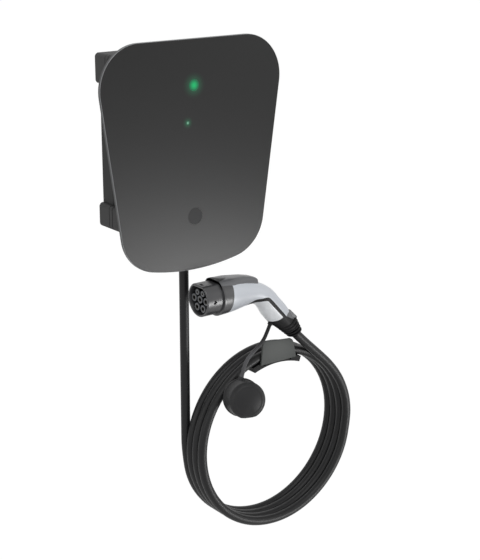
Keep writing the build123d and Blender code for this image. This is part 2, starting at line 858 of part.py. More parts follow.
def hanger_bracket():
    """Small wall plate with an arm, and a curved saddle on the arm that carries the coil."""
    seat = saddle_seat_radius()
    plate_z = hanger_plate_top_z - hanger_plate_height / 2
    plate = slab(Pos(hanger_plate_x, plate_z)
                 * RectangleRounded(hanger_plate_width, hanger_plate_height,
                                    hanger_plate_radius), 0, hanger_plate_thickness)
    sector = hanger_sector(seat - saddle_thickness, seat, saddle_half_angle)
    saddle = slab(sector, saddle_back_depth, saddle_depth - saddle_back_depth)
    underside = coil_centre_z + seat - saddle_thickness
    side = Plane(origin=(hanger_plate_x - arm_width / 2, 0, underside),
                 x_dir=(0, -1, 0), z_dir=(1, 0, 0))
    root = hanger_plate_thickness / 2
    tip = saddle_back_depth + arm_overlap
    arm = Polygon((root, arm_root_top), (saddle_back_depth, -saddle_thickness / 2),
                  (tip, -saddle_thickness / 2), (tip, 0), (saddle_back_depth, arm_tip_height),
                  (root, arm_root_bottom), align=None)
    bracket = plate + saddle + prism(side, arm, arm_width)
    for x, z in corners(hanger_hole_span_x, hanger_hole_span_z):
        bracket -= bar(hanger_plate_x + x, plate_z + z, -cut_overrun, hanger_hole_diameter,
                       hanger_plate_thickness + 2 * cut_overrun)
    for side_x in (-1, 1):
        x = coil_centre_x + side_x * lip_peg_span / 2
        bracket -= bar(x, lip_peg_z(), saddle_depth - lip_peg_length - fit_gap, lip_peg_diameter
                       + 2 * fit_gap, lip_peg_length + cut_overrun)
    return bracket


def lip_peg_z():
    """Height of the lip's pegs, in the middle of the saddle's end."""
    middle = saddle_seat_radius() - saddle_thickness / 2
    return coil_centre_z + sqrt(middle ** 2 - (lip_peg_span / 2) ** 2)


def hanger_lip():
    """Front plate of the hanger, which keeps the coil on its saddle."""
    foot = coil_centre_z + saddle_seat_radius() - saddle_thickness
    top = foot + saddle_thickness + lip_rise
    outline = Polygon((-lip_bottom_width / 2, foot), (lip_bottom_width / 2, foot),
                      (lip_top_width / 2, top), (-lip_top_width / 2, top), align=None)
    outline = fillet(outline.vertices(), lip_radius)
    lip = slab(Pos(coil_centre_x, 0) * outline, saddle_depth, lip_thickness)
    lip = chamfer(lip.faces().sort_by(Axis.Y)[0].edges(), lip_thickness / 4)
    for side_x in (-1, 1):
        x = coil_centre_x + side_x * lip_peg_span / 2
        lip += bar(x, lip_peg_z(), saddle_depth - lip_peg_length, lip_peg_diameter,
                   lip_peg_length + lip_thickness / 2)
    return lip


def nose_plane(x):
    """The plane across the connector's nose, seen by someone who looks into its face."""
    return Plane(origin=(x, -connector_depth, nose_axis_z), x_dir=(0, -1, 0), z_dir=(-1, 0, 0))


def nose_disc(x, length, sketch):
    """A sketch on the nose's face plane, extruded back into the connector from x."""
    return prism(nose_plane(x), sketch, -length)


def flattened_circle(radius, flat_height):
    """Circle with a flat top."""
    box = Pos(0, flat_height - 2 * radius) * Rectangle(4 * radius, 4 * radius)
    return Circle(radius) & box


def contact_places():
    """Places of the five power contacts and the two signal contacts on the nose's face."""
    power = [(0, 0), (-contact_pitch, 0), (contact_pitch, 0),
             (-contact_pitch / 2, -low_contact_drop), (contact_pitch / 2, -low_contact_drop)]
    signal = [(-high_contact_pitch / 2, high_contact_rise),
              (high_contact_pitch / 2, high_contact_rise)]
    return power, signal


def nose():
    """Hollow nose of the connector with its locking hole and coding slot."""
    radius = nose_diameter / 2
    shell = nose_disc(nose_face_x, nose_length, flattened_circle(radius, nose_flat_height))
    shell = chamfer(shell.faces().sort_by(Axis.X)[0].edges(), nose_wall / 3)
    inside = flattened_circle(radius - nose_wall, nose_flat_height - nose_wall)
    shell -= nose_disc(nose_face_x - cut_overrun, nose_face_depth + cut_overrun, inside)
    side = Plane(origin=(nose_face_x + lock_hole_setback, -connector_depth - radius
                         - cut_overrun, nose_axis_z), z_dir=(0, 1, 0))
    shell -= prism(side, Circle(lock_hole_diameter / 2), nose_wall + cut_overrun)
    top = Plane(origin=(nose_face_x + lock_hole_setback / 2, -connector_depth,
                        nose_axis_z + nose_flat_height + cut_overrun), z_dir=(0, 0, -1))
    shell -= prism(top, Rectangle(nose_slot_length, nose_slot_width),
                   nose_wall / 2 + cut_overrun)
    return shell


def contact_insert():
    """Insulating insert with seven towers around the contacts."""
    inside = flattened_circle(nose_diameter / 2 - nose_wall - fit_gap,
                              nose_flat_height - nose_wall - fit_gap)
    base_x = nose_face_x + nose_face_depth - insert_base
    insert = nose_disc(base_x, insert_base, inside)
    start = nose_face_x + tower_setback
    reach = base_x - start + insert_base / 2
    power, signal = contact_places()
    for places, diameter in ((power, power_tower_diameter), (signal, signal_tower_diameter)):
        for y, z in places:
            insert += nose_disc(start, reach, Pos(y, z) * Circle(diameter / 2))
    for places, diameter in ((power, power_sleeve_diameter), (signal, signal_sleeve_diameter)):
        for y, z in places:
            insert -= nose_disc(start - cut_overrun, sleeve_length + cut_overrun,
                                Pos(y, z) * Circle(diameter / 2))
    return insert


def contact_sleeves(places, outer, bore):
    """Socket contacts: tubes with a closed back, seated in the insert's towers."""
    sleeves = []
    start = nose_face_x + tower_setback + fit_gap
    for y, z in places:
        tube = nose_disc(start, sleeve_length - fit_gap, Pos(y, z) * Circle(outer / 2))
        tube -= nose_disc(start - cut_overrun, sleeve_length - 2 * cut_overrun,
                          Pos(y, z) * Circle(bore / 2))
        sleeves.append(tube)
    return sleeves


def collar_x():
    """Where the nose ends and the collar begins."""
    return nose_face_x + nose_length


def handle_point(along_share, drop_share):
    """A point of the connector's side view, from shares of its reach and drop."""
    return collar_x() + along_share * handle_reach, nose_axis_z - drop_share * handle_drop


def handle_sections():
    """Oval sections across the handle, from the collar to the strain relief."""
    sections = []
    for along, down, tilt, thick, wide in handle_section_shares:
        x, z = handle_point(along, down)
        direction = (cos(radians(tilt)), 0, sin(radians(tilt)))
        plane = Plane(origin=(x, -connector_depth, z), x_dir=(0, 1, 0), z_dir=direction)
        oval = []
        for index in range(oval_corners):
            angle = 2 * pi * index / oval_corners
            oval.append((wide * collar_diameter / 2 * cos(angle),
                         thick * collar_diameter / 2 * sin(angle)))
        sections.append(plane * Polygon(*oval, align=None))
    return sections


def side_region(points):
    """Everything of the connector that lies inside an outline in its side view."""
    outline = Polygon(*points, align=None)
    reach = collar_diameter
    return slab(outline, connector_depth - reach, 2 * reach)


def sleeve_edge():
    """Bowed edge between the dark sleeve and the light shell."""
    return [handle_point(along, down) for along, down in sleeve_edge_shares]


def handle_pieces():
    """The handle cut along its parting lines into its moulded pieces."""
    body = loft(handle_sections(), ruled=True)
    top = (handle_point(1.2, -0.6), handle_point(-0.2, -0.6))
    edge = sleeve_edge()
    bow = [handle_point(-0.2, 0.6)] + [top[1]] + edge
    sleeve_region = side_region(bow)
    outer = [handle_point(*share) for share in stripe_outer_shares]
    inner = [handle_point(*share) for share in stripe_inner_shares]
    lower = [handle_point(*share) for share in lower_edge_shares]
    clip = [handle_point(*share) for share in clip_shares]
    foot = [handle_point(1.2, 1.3), handle_point(0.5, 1.3)]
    stripe_region = side_region(outer + inner)
    lower_region = side_region(lower + foot)
    clip_region = side_region(clip)
    sleeve = body & sleeve_region
    rest = body - sleeve_region
    lug = tether_lug(tether_route[0], tether_route[1])
    lower_piece = (rest & lower_region) + (lug - body)
    rest -= lower_region
    tab = [handle_point(*share) for share in tab_shares]
    tab = slab(Polygon(*tab, align=None), connector_depth - tab_width / 2, tab_width)
    clip_piece = (rest & clip_region) + (tab - body)
    rest -= clip_region
    stripe = rest & stripe_region
    rest -= stripe_region
    solids = rest.solids().sort_by(Axis.Z)
    inlay = solids[0]
    shell = Part() + solids[1:]
    return body, {"sleeve": sleeve, "shell": shell, "stripe": stripe, "inlay": inlay,
                  "lower": lower_piece, "clip": clip_piece}


def lock_cover(body):
    """Ridge over the release lock: a tongue that tapers and sinks from the collar to its tip."""
    base = nose_axis_z + fin_start_height * fin_foot_share
    start = collar_x()
    top = [(start + along * fin_length, nose_axis_z + rise * fin_start_height)
           for along, rise in fin_top_shares]
    profile = Polygon(*top, (top[-1][0], base), (start, base), align=None)
    fin = slab(profile, connector_depth - fin_width / 2, fin_width)
    plan = [(start + along * fin_length, side * fin_width / 2) for along, side in fin_plan_shares]
    mirrored = [(x, -y) for x, y in plan]
    tongue = Polygon(*plan, *mirrored[::-1], align=None)
    tip = tongue.vertices().group_by(Axis.X)[-1]
    tongue = fillet(tip, fin_tip_radius)
    arch = Circle(collar_diameter / 2 + fin_arch_rise)
    fin &= nose_disc(start, fin_length, arch)
    floor = Plane(origin=(0, -connector_depth, base), x_dir=(1, 0, 0), z_dir=(0, 0, 1))
    fin &= prism(floor, tongue, 2 * fin_start_height)
    return fin - body


def strain_relief():
    """Ribbed rubber sleeve between the handle and the cable."""
    along, down, tilt = handle_section_shares[-1][:3]
    x, z = handle_point(along, down)
    direction = (cos(radians(tilt)), 0, sin(radians(tilt)))
    plane = Plane(origin=(x, -connector_depth, z), x_dir=(0, 1, 0), z_dir=direction)
    start = relief_start_diameter / 2
    end = relief_end_diameter / 2
    outline = [(0, 0), (start, 0)]
    pitch = relief_length / (relief_ring_count + 1)
    for index in range(relief_ring_count):
        along_here = pitch * (index + 1) - relief_ring_width / 2
        radius = start + (end - start) * along_here / relief_length
        outline += [(radius, along_here), (radius + relief_ring_height, along_here),
                    (radius + relief_ring_height, along_here + relief_ring_width),
                    (radius, along_here + relief_ring_width)]
    outline += [(end, relief_length), (0, relief_length)]
    half = Plane.XZ * Polygon(*outline, align=None)
    relief = revolve(half, axis=Axis.Z)
    return plane.location * relief


def dust_cap():
    """Soft cap for the connector's nose: a turned and tilted cup with a flat side and a lug."""
    outer = Rot(0, 0, 180) * flattened_circle(cap_outer_diameter / 2, cap_flat_height)
    cup = slab(outer, -cap_length / 2, cap_length)
    end = cup.faces().sort_by(Axis.Y)[0]
    cup = fillet(end.edges(), cap_end_radius)
    inner = flattened_circle(cap_inner_diameter / 2, cap_flat_height
                             - (cap_outer_diameter - cap_inner_diameter) / 2)
    hollow = slab(Rot(0, 0, 180) * inner, -cap_length / 2 - cut_overrun,
                  cap_length - cap_end_wall - cap_end_radius + cut_overrun)
    place = Pos(*cap_middle) * Rot(0, 0, cap_yaw) * Rot(cap_pitch, 0, 0)
    cup = place * cup + tether_lug(tether_route[-1], tether_route[-2])
    return cup - place * hollow


print("coil turns", coil_turns, "turn length", round(2 * pi * coil_radius, 1))
os.makedirs("parts", exist_ok=True)
handle_body, handle = handle_pieces()
lefts = device_lefts()
outlet_body, outlet_dome = gland(cable_x, cable_diameter)
supply_body, supply_dome = gland(supply_gland_x, supply_bore)
power_places, signal_places = contact_places()

parts = {
    "rear_housing": rear_shell(),
    "front_housing": front_shell(),
    "housing_seal": seal(),
    "housing_screws": cover_screws(),
    "front_panel": front_panel(),
    "panel_grommets": grommets(),
    "status_light": light(0, light_height, light_diameter, light_stem_diameter),
    "small_light": light(small_light_x, small_light_height, small_light_diameter,
                         small_stem_diameter),
    "card_reader_disc": reader_disc(),
    "led_board": led_board(),
    "card_reader_board": reader_board(),
    "main_board": main_board(),
    "main_board_components": board_parts(),
    "board_spacers": board_spacers(),
    "device_rail": rail(),
    "rail_screws": rail_screws(),
    "contactor": rail_device(lefts[0], contactor_width),
    "leakage_monitor": rail_device(lefts[1], leakage_monitor_width),
    "energy_meter": rail_device(lefts[2], meter_width),
    "supply_terminals": terminals(),
    "outlet_gland": outlet_body,
    "outlet_gland_dome": outlet_dome,
    "outlet_gland_nut": gland_nut(cable_x),
    "supply_gland": supply_body,
    "supply_gland_dome": supply_dome,
    "supply_gland_nut": gland_nut(supply_gland_x),
    "vent_plug": vent_plug(),
    "cable_sheath_end": cable_end(),
    "cable_cores": cable_cores(),
    "charging_cable_drop": cable_drop(),
    "charging_cable_coil": coil(),
    "charging_cable_tail": cord_tube(tail_route, cable_diameter),
    "hanger_bracket": hanger_bracket(),
    "hanger_lip": hanger_lip(),
    "connector_nose": nose(),
    "contact_insert": contact_insert(),
    "power_contacts": contact_sleeves(power_places, power_sleeve_diameter,
                                      power_bore_diameter),
    "signal_contacts": contact_sleeves(signal_places, signal_sleeve_diameter,
                                       signal_bore_diameter),
    "connector_sleeve": handle["sleeve"],
    "lock_cover": lock_cover(handle_body),
    "handle_shell": handle["shell"],
    "handle_stripe": handle["stripe"],
    "handle_inlay": handle["inlay"],
    "handle_end": handle["lower"],
    "handle_clip": handle["clip"],
    "strain_relief": strain_relief(),
    "dust_cap": dust_cap(),
    "cap_tether": cord_tube(tether_route, tether_diameter),
}

for name, shape in parts.items():
    solid = Compound(children=list(shape)) if isinstance(shape, list) else shape
    export_step(solid, f"parts/{name}.step")
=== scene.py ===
# %% [markdown]
# This lesson dresses a wall charging station for electric cars: a box with a flat front panel, a
# fixed cable that hangs in a coil on a wall hanger, and the vehicle connector with its cap. The
# solids of the box come from the imported model. Blender adds what solids can't show, such as the
# smooth handle, the cable on its curve and the finish of each material. The frame is loaded first,
# because every piece is placed in it.

# %% Load the frame
import bmesh
import bpy
from math import acos, cos, pi, radians, sin
from mathutils import Matrix, Vector


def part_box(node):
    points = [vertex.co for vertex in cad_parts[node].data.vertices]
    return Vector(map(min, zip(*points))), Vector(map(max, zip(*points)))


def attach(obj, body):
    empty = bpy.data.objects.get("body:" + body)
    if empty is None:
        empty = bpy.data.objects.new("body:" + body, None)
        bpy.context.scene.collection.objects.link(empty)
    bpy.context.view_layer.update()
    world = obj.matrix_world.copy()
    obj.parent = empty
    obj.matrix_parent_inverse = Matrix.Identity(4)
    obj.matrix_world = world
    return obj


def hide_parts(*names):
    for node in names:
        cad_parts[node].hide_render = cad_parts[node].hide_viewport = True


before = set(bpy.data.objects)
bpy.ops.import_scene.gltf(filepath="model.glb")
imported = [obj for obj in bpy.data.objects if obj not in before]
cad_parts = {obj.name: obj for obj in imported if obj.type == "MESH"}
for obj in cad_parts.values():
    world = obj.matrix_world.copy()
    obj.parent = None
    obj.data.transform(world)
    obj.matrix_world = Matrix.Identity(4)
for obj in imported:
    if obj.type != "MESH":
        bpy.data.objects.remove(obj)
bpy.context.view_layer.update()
print("nodes in the frame:", len(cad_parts))

# %% [markdown]
# A material is a small tree of nodes. One function turns a hex colour into Blender's linear
# numbers, one adds a node with its settings and its links, and one starts a material with a
# Principled shader. These three are all that any finish needs, so they come first.

# %% Helpers for materials
MM = 0.001


def linear(code):
    """An sRGB hex colour as linear red, green and blue with full cover."""
    values = [int(code[i:i + 2], 16) / 255 for i in (1, 3, 5)]
    values = [v / 12.92 if v <= 0.04045 else ((v + 0.055) / 1.055) ** 2.4 for v in values]
    return (*values, 1.0)


def add(tree, kind, settings=None, **links):
    """A node of a kind, with its settings, its fixed inputs and its links."""
    node = tree.nodes.new(kind)
    for name, value in (settings or {}).items():
        setattr(node, name, value)
    for name, value in links.items():
        key = int(name[1:]) if name[0] == "_" else name.replace("_", " ")
        if isinstance(value, bpy.types.NodeSocket):
            tree.links.new(value, node.inputs[key])
        else:
            node.inputs[key].default_value = value
    return node


def start_material(name, roughness, colour=None, metallic=0.0, ior=1.5):
    """An empty material with its shader, its tree and its object coordinates."""
    made = bpy.data.materials.new(name)
    made.use_nodes = True
    tree = made.node_tree
    shader = tree.nodes["Principled BSDF"]
    shader.inputs["Roughness"].default_value = roughness
    shader.inputs["Metallic"].default_value = metallic
    shader.inputs["IOR"].default_value = ior
    if colour:
        shader.inputs["Base Color"].default_value = linear(colour)
    place = add(tree, "ShaderNodeTexCoord").outputs["Object"]
    return made, tree, shader, place


print("white is", linear("#ffffff"))

# %% [markdown]
# Most finishes here are moulded: a plastic or rubber takes the fine grain of its steel tool. To the
# eye that is a soft bump with two close shades in it, so two small functions give any material a
# grain of a real size and a colour between two shades, and a third makes the whole moulded finish.

# %% Helpers for a moulded surface
GRAIN_MM, GRAIN_DEPTH_MM = 0.9, 0.05


def grain(tree, shader, place, size_mm, depth_mm, strength=0.5):
    """A moulded or sprayed grain of a real size as bump."""
    noise = add(tree, "ShaderNodeTexNoise", Vector=place, Scale=1 / (size_mm * MM), Detail=2.0)
    bump = add(tree, "ShaderNodeBump", Strength=strength, Distance=depth_mm * MM,
               Height=noise.outputs["Fac"])
    tree.links.new(bump.outputs["Normal"], shader.inputs["Normal"])
    return noise.outputs["Fac"]


def tinted(tree, shader, amount, dark, light):
    """Colour the material between two shades, by a pattern."""
    mix = add(tree, "ShaderNodeMix", {"data_type": "RGBA"}, _0=amount, _6=linear(dark),
              _7=linear(light))
    tree.links.new(mix.outputs[2], shader.inputs["Base Color"])


def moulded(name, dark, light, roughness, grain_mm=GRAIN_MM, depth_mm=GRAIN_DEPTH_MM,
            ior=1.5):
    """A moulded plastic or rubber: two close shades and an eroded grain."""
    made, tree, shader, place = start_material(name, roughness, ior=ior)
    fine = grain(tree, shader, place, grain_mm, depth_mm)
    tinted(tree, shader, fine, dark, light)
    return made


print("moulded grain:", GRAIN_MM, "mm wide")

# %% [markdown]
# The housing is ASA, a plastic that stands up to sun and rain. Its tool is eroded by sparks, which
# leaves a fine matt grain. The real grain is about 0.2 mm wide, too fine to show from two metres,
# so it is drawn at 0.9 mm. The two wider caps catch more light than the middle, and the foot lies
# in the shade, so the colour changes at three heights.

# %% Material of the housing
asa, tree, shader, place = start_material("eroded_asa_dark_grey", 0.62, ior=1.35)
fine = grain(tree, shader, place, GRAIN_MM, GRAIN_DEPTH_MM)
height = add(tree, "ShaderNodeSeparateXYZ", Vector=place).outputs["Z"]
upper_cap_mm, lower_cap_mm, foot_mm, blend_mm = 91.0, -99.5, -134.0, 0.5
above, below, foot = [
    add(tree, "ShaderNodeMapRange", Value=height, From_Min=(line_mm - half_mm) * MM,
        From_Max=(line_mm + half_mm) * MM).outputs[0]
    for line_mm, half_mm in ((upper_cap_mm, blend_mm), (lower_cap_mm, -blend_mm),
                             (foot_mm, -blend_mm))]
in_caps = add(tree, "ShaderNodeMath", {"operation": "ADD"}, _0=above, _1=below).outputs[0]
cap_shade, middle_shade = [
    add(tree, "ShaderNodeMix", {"data_type": "RGBA"}, _0=fine, _6=linear(dark),
        _7=linear(light)).outputs[2]
    for dark, light in (("#363636", "#3d3d3d"), ("#232323", "#292929"))]
both_shades = add(tree, "ShaderNodeMix", {"data_type": "RGBA"}, _0=in_caps, _6=middle_shade,
                  _7=cap_shade).outputs[2]
with_foot = add(tree, "ShaderNodeMix", {"data_type": "RGBA"}, _0=foot, _6=both_shades,
                _7=linear("#141414")).outputs[2]
tree.links.new(with_foot, shader.inputs["Base Color"])
print("nodes in the housing's material:", len(tree.nodes))

# %% [markdown]
# The small parts have plainer finishes. Glands are moulded polyamide, which is near black and half
# matt. Rail devices are moulded polycarbonate in the pale grey of switchgear. Spacers are natural
# nylon, seals and grommets are EPDM rubber, and components are filled epoxy.

# %% Materials of the small parts
gland_plastic = moulded("moulded_polyamide_black", "#1b1b1c", "#232324", 0.5)
device_plastic = moulded("moulded_polycarbonate_grey", "#b9bbbb", "#c3c5c5", 0.5)
nylon = moulded("natural_nylon", "#d2d1c8", "#dcdbd2", 0.45)
epdm = moulded("epdm_rubber_black", "#151515", "#1d1d1d", 0.75, 1.4)
component = moulded("filled_epoxy_black", "#242426", "#2c2c30", 0.55)
print("small finishes:", [made.name for made in (gland_plastic, device_plastic, nylon, epdm,
                                                 component)])

# %% [markdown]
# The front panel is aluminium with a fine sprayed coat in satin dark grey. Such a coat has a very
# soft gloss with a slight orange peel, whose waves are about 1.5 mm long. A highlight is painted on
# the bevel round the panel and on its side, so the colour follows the depth behind the front face:
# just behind it, on the bevel, the colour is lighter, and further back it is darker.

# %% Material of the panel
panel_coat, tree, shader, place = start_material("sprayed_satin_coat", 0.31, ior=1.32)
peel = grain(tree, shader, place, 1.5, 0.02, 0.3)
panel_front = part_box("front_panel")[0][1]
face_mm, bevel_mm, blend_mm = 0.1, 0.8, 0.05
depth = add(tree, "ShaderNodeSeparateXYZ", Vector=place).outputs["Y"]
front, wall = [
    add(tree, "ShaderNodeMapRange", Value=depth, From_Min=panel_front + (line_mm - half_mm) * MM,
        From_Max=panel_front + (line_mm + half_mm) * MM).outputs[0]
    for line_mm, half_mm in ((face_mm, -blend_mm), (bevel_mm, blend_mm))]
body_shade = add(tree, "ShaderNodeMix", {"data_type": "RGBA"}, _0=peel,
                 _6=linear("#1d1d1d"), _7=linear("#202020")).outputs[2]
# Painted highlight: the bevel and the side of the panel are coloured lighter than the face, standing
# in for the light that the edge catches.
bevel_painted_highlight = add(tree, "ShaderNodeMix", {"data_type": "RGBA"}, _0=wall,
                  _6=linear("#8e8f91"), _7=linear("#4a4b4c")).outputs[2]
with_painted_edge_highlight = add(tree, "ShaderNodeMix", {"data_type": "RGBA"}, _0=front, _6=bevel_painted_highlight,
                _7=body_shade).outputs[2]
tree.links.new(with_painted_edge_highlight, shader.inputs["Base Color"])
print("the panel's face lies at y =", round(panel_front, 4))

# %% [markdown]
# The status light and the small light below it are moulded acrylic lenses over green diodes. A lens
# is brightest in its middle, so its colour of emission follows the distance from its centre. The
# card field is a dark disc of polished polycarbonate.

# %% Materials of the lights and the card field


def distance_from(tree, place, centre):
    """The distance of each point from a centre, in metres."""
    moved = add(tree, "ShaderNodeMapping", Vector=place,
                Location=[-value for value in centre]).outputs[0]
    return add(tree, "ShaderNodeVectorMath", {"operation": "LENGTH"}, _0=moved).outputs["Value"]


def face_centre(node):
    """The middle of a node's front face."""
    low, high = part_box(node)
    return (low[0] + high[0]) / 2, low[1], (low[2] + high[2]) / 2


def lit_lens(name, centre, radius_mm, core, rim):
    """Acrylic lit from behind, with a bright core and a dimmer rim."""
    made, tree, shader, place = start_material(name, 0.4, "#0b1f16", ior=1.25)
    far = distance_from(tree, place, centre)
    fade = add(tree, "ShaderNodeMapRange", {"interpolation_type": "SMOOTHSTEP"}, Value=far,
               From_Min=0.1 * radius_mm * MM, From_Max=radius_mm * MM).outputs[0]
    mix = add(tree, "ShaderNodeMix", {"data_type": "RGBA"}, _0=fade, _6=linear(core),
              _7=linear(rim)).outputs[2]
    tree.links.new(mix, shader.inputs["Emission Color"])
    shader.inputs["Emission Strength"].default_value = 1.0
    return made


light_centre, small_centre = face_centre("status_light"), face_centre("small_light")
green_lens = lit_lens("lit_acrylic_green", light_centre, 9.0, "#10b066", "#1a6644")
small_lens = lit_lens("lit_acrylic_pale", small_centre, 2.5, "#8cbca5", "#25684a")
disc_plastic = moulded("polished_polycarbonate_dark", "#222223", "#262627", 0.38, 1.2, 0.01, 1.25)
print("lights at heights", round(light_centre[2], 3), "and", round(small_centre[2], 3))

# %% [markdown]
# A little of the green light spills over the coat round each lens. A lamp could do it, but it would
# light the whole object. A faint emission on the coat that fades with the distance stays small.

# %% Spill of the lights on the panel
tree = panel_coat.node_tree
shader = tree.nodes["Principled BSDF"]
place = add(tree, "ShaderNodeTexCoord").outputs["Object"]
spill = 0.0
for centre, inner_mm, outer_mm, strength in ((light_centre, 6.0, 23.0, 0.15),
                                             (small_centre, 1.5, 11.0, 0.16)):
    far = distance_from(tree, place, centre)
    fade = add(tree, "ShaderNodeMapRange", Value=far, From_Min=outer_mm * MM,
               From_Max=inner_mm * MM).outputs[0]
    fade = add(tree, "ShaderNodeMath", {"operation": "POWER"}, _0=fade, _1=2.0).outputs[0]
    spill = add(tree, "ShaderNodeMath", {"operation": "MULTIPLY_ADD"}, _0=fade, _1=strength,
                _2=spill).outputs[0]
shader.inputs["Emission Color"].default_value = linear("#2fc887")
tree.links.new(spill, shader.inputs["Emission Strength"])
print("nodes in the panel's material:", len(tree.nodes))

# %% [markdown]
# Inside the box, a circuit board is glass-fibre laminate under green resin, and its weave shows as
# faint waves. The rail and the screws are zinc-plated steel, which is bright with a faint cloudy
# pattern. Cores are PVC, which goes here from brown on the left to blue on the right.

# %% Materials inside the box
board, tree, shader, place = start_material("solder_resist_green", 0.35)
weave = add(tree, "ShaderNodeTexWave", Vector=place, Scale=120.0, Distortion=1.0)
tinted(tree, shader, weave.outputs["Fac"], "#0d3f25", "#124a2c")
zinc, tree, shader, place = start_material("zinc_plated_steel", 0.3, metallic=1.0)
tinted(tree, shader, grain(tree, shader, place, 4.0, 0.01, 0.3), "#b0b3b5", "#c6c8ca")
core_insulation, tree, shader, place = start_material("pvc_core_insulation", 0.45)
across = add(tree, "ShaderNodeSeparateXYZ", Vector=place).outputs["X"]
side = 0.1
to_right = add(tree, "ShaderNodeMapRange", Value=across, From_Min=-side,
               From_Max=side).outputs[0]
tinted(tree, shader, to_right, "#5a3a22", "#2a4a86")
print("finishes inside:", board.name, zinc.name, core_insulation.name)

# %% [markdown]
# The contacts are brass with a silver plating, coloured darker than bright silver. They stand in an
# insert of glass-filled polyamide. Its front is grey, and in the depth between the contacts it gets
# no light, so its shade falls to near black over a millimetre and a half of depth.

# %% Materials of the contacts and their insert
silver, tree, shader, place = start_material("silver_plated_brass", 0.4, metallic=1.0)
tinted(tree, shader, grain(tree, shader, place, 2.0, 0.01, 0.2), "#4e4d4b", "#5e5d5a")
insert_plastic, tree, shader, place = start_material("insulating_polyamide", 0.45)
inward = add(tree, "ShaderNodeSeparateXYZ", Vector=place).outputs["X"]
grey_mm, black_mm = -6.5, -5.0
deep = add(tree, "ShaderNodeMapRange", Value=inward, From_Min=grey_mm * MM,
           From_Max=black_mm * MM).outputs[0]
tinted(tree, shader, deep, "#606266", "#0e0e0f")
print("finishes of the contacts:", silver.name, insert_plastic.name)

# %% [markdown]
# The cable's sheath is extruded polyurethane: smooth, near black, with a soft sheen along each
# turn. The hanger is moulded plastic, a black saddle with a grey lip in front.

# %% Materials of the cable and the hanger
sheath = moulded("polyurethane_sheath_black", "#151516", "#19191a", 0.45, 1.6, 0.001, 1.34)
hanger_black = moulded("moulded_hanger_black", "#0f0f10", "#141415", 0.6, ior=1.25)
lip_grey = moulded("moulded_hanger_grey", "#4c4f4d", "#535654", 0.5, ior=1.3)
print("finishes of the cable and hanger:", sheath.name, hanger_black.name, lip_grey.name)

# %% [markdown]
# The connector's nose and collar are glass-filled polyamide with a fine grain and some gloss, and
# the lock's cover is a smoother one, whose paler colour is a painted highlight for its top, lit from
# above. The grip is satin polycarbonate, whiter in the inlay, and the clip and the tab on its back
# are moulded ABS.

# %% Materials of the connector's hard parts
polyamide = moulded("glass_filled_polyamide_grey", "#353537", "#3e3e40", 0.34, 0.9, 0.02, 1.6)
# The cover's paler colour is a painted highlight for its top, which faces the light from above.
cover_painted_highlight_polyamide = moulded("satin_polyamide_painted_highlight", "#616265", "#696a6d", 0.3, 1.1, 0.01)
grip = moulded("satin_polycarbonate_pale", "#dde2ea", "#e4e8ee", 0.36, 1.1, 0.01)
inlay_white = moulded("satin_polycarbonate_white", "#f7fbff", "#fbfdff", 0.36, 1.1, 0.01)
tab_grey = moulded("moulded_abs_grey", "#67686b", "#6f7073", 0.42)
print("finishes of the grip:", grip.name, inlay_white.name, tab_grey.name)

# %% [markdown]
# The stripe, the foot and the strain relief are a soft black elastomer, and the cap is a softer
# dark rubber. The tether is rubber too: black near the handle, with a highlight painted in grey
# lower down, so its colour follows the height.

# %% Materials of the soft parts
soft_black = moulded("soft_elastomer_black", "#161617", "#1c1c1d", 0.5, 1.0, 0.01, 1.25)
cap_rubber = moulded("soft_cap_rubber", "#262627", "#2c2c2d", 0.45, 1.2, 0.02, 1.3)
strap_rubber, tree, shader, place = start_material("soft_strap_rubber", 0.5, ior=1.3)
height = add(tree, "ShaderNodeSeparateXYZ", Vector=place).outputs["Z"]
black_mm, grey_mm = -345.0, -368.0
# Painted highlight: below the lip the tether is coloured grey, standing in for light on it.
painted_highlight_share = add(tree, "ShaderNodeMapRange", Value=height, From_Min=black_mm * MM,
             From_Max=grey_mm * MM).outputs[0]
tinted(tree, shader, painted_highlight_share, "#0d0d0e", "#565658")
print("soft finishes:", soft_black.name, cap_rubber.name, strap_rubber.name)

# %% [markdown]
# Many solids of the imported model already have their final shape, such as the housing, the panel and
# everything inside the box. Those nodes only get a finish. Their meshes are left as they are.

# %% Dress the nodes that keep their own mesh
finishes = {
    "rear_housing": asa, "front_housing": asa, "housing_seal": epdm, "housing_screws": zinc,
    "front_panel": panel_coat, "panel_grommets": epdm, "status_light": green_lens,
    "small_light": small_lens, "card_reader_disc": disc_plastic, "led_board": board,
    "card_reader_board": board, "main_board": board, "main_board_components": component,
    "board_spacers": nylon, "device_rail": zinc, "rail_screws": zinc, "contactor": device_plastic,
    "leakage_monitor": device_plastic, "energy_meter": device_plastic,
    "supply_terminals": device_plastic, "outlet_gland": gland_plastic,
    "outlet_gland_dome": gland_plastic, "outlet_gland_nut": gland_plastic,
    "supply_gland": gland_plastic, "supply_gland_dome": gland_plastic,
    "supply_gland_nut": gland_plastic, "vent_plug": gland_plastic, "cable_sheath_end": sheath,
    "cable_cores": core_insulation, "hanger_bracket": hanger_black,
    "contact_insert": insert_plastic, "power_contacts": silver, "signal_contacts": silver,
}
for name, finish in finishes.items():
    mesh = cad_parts[name].data
    mesh.materials.clear()
    mesh.materials.append(finish)
print("nodes dressed:", len(finishes))

# %% [markdown]
# The camera stands where the photographer stood: in front of the object, to its left and a little
# above. Its place, its three directions and its lens were fitted to the corners of the panel and
# the box in the photo.

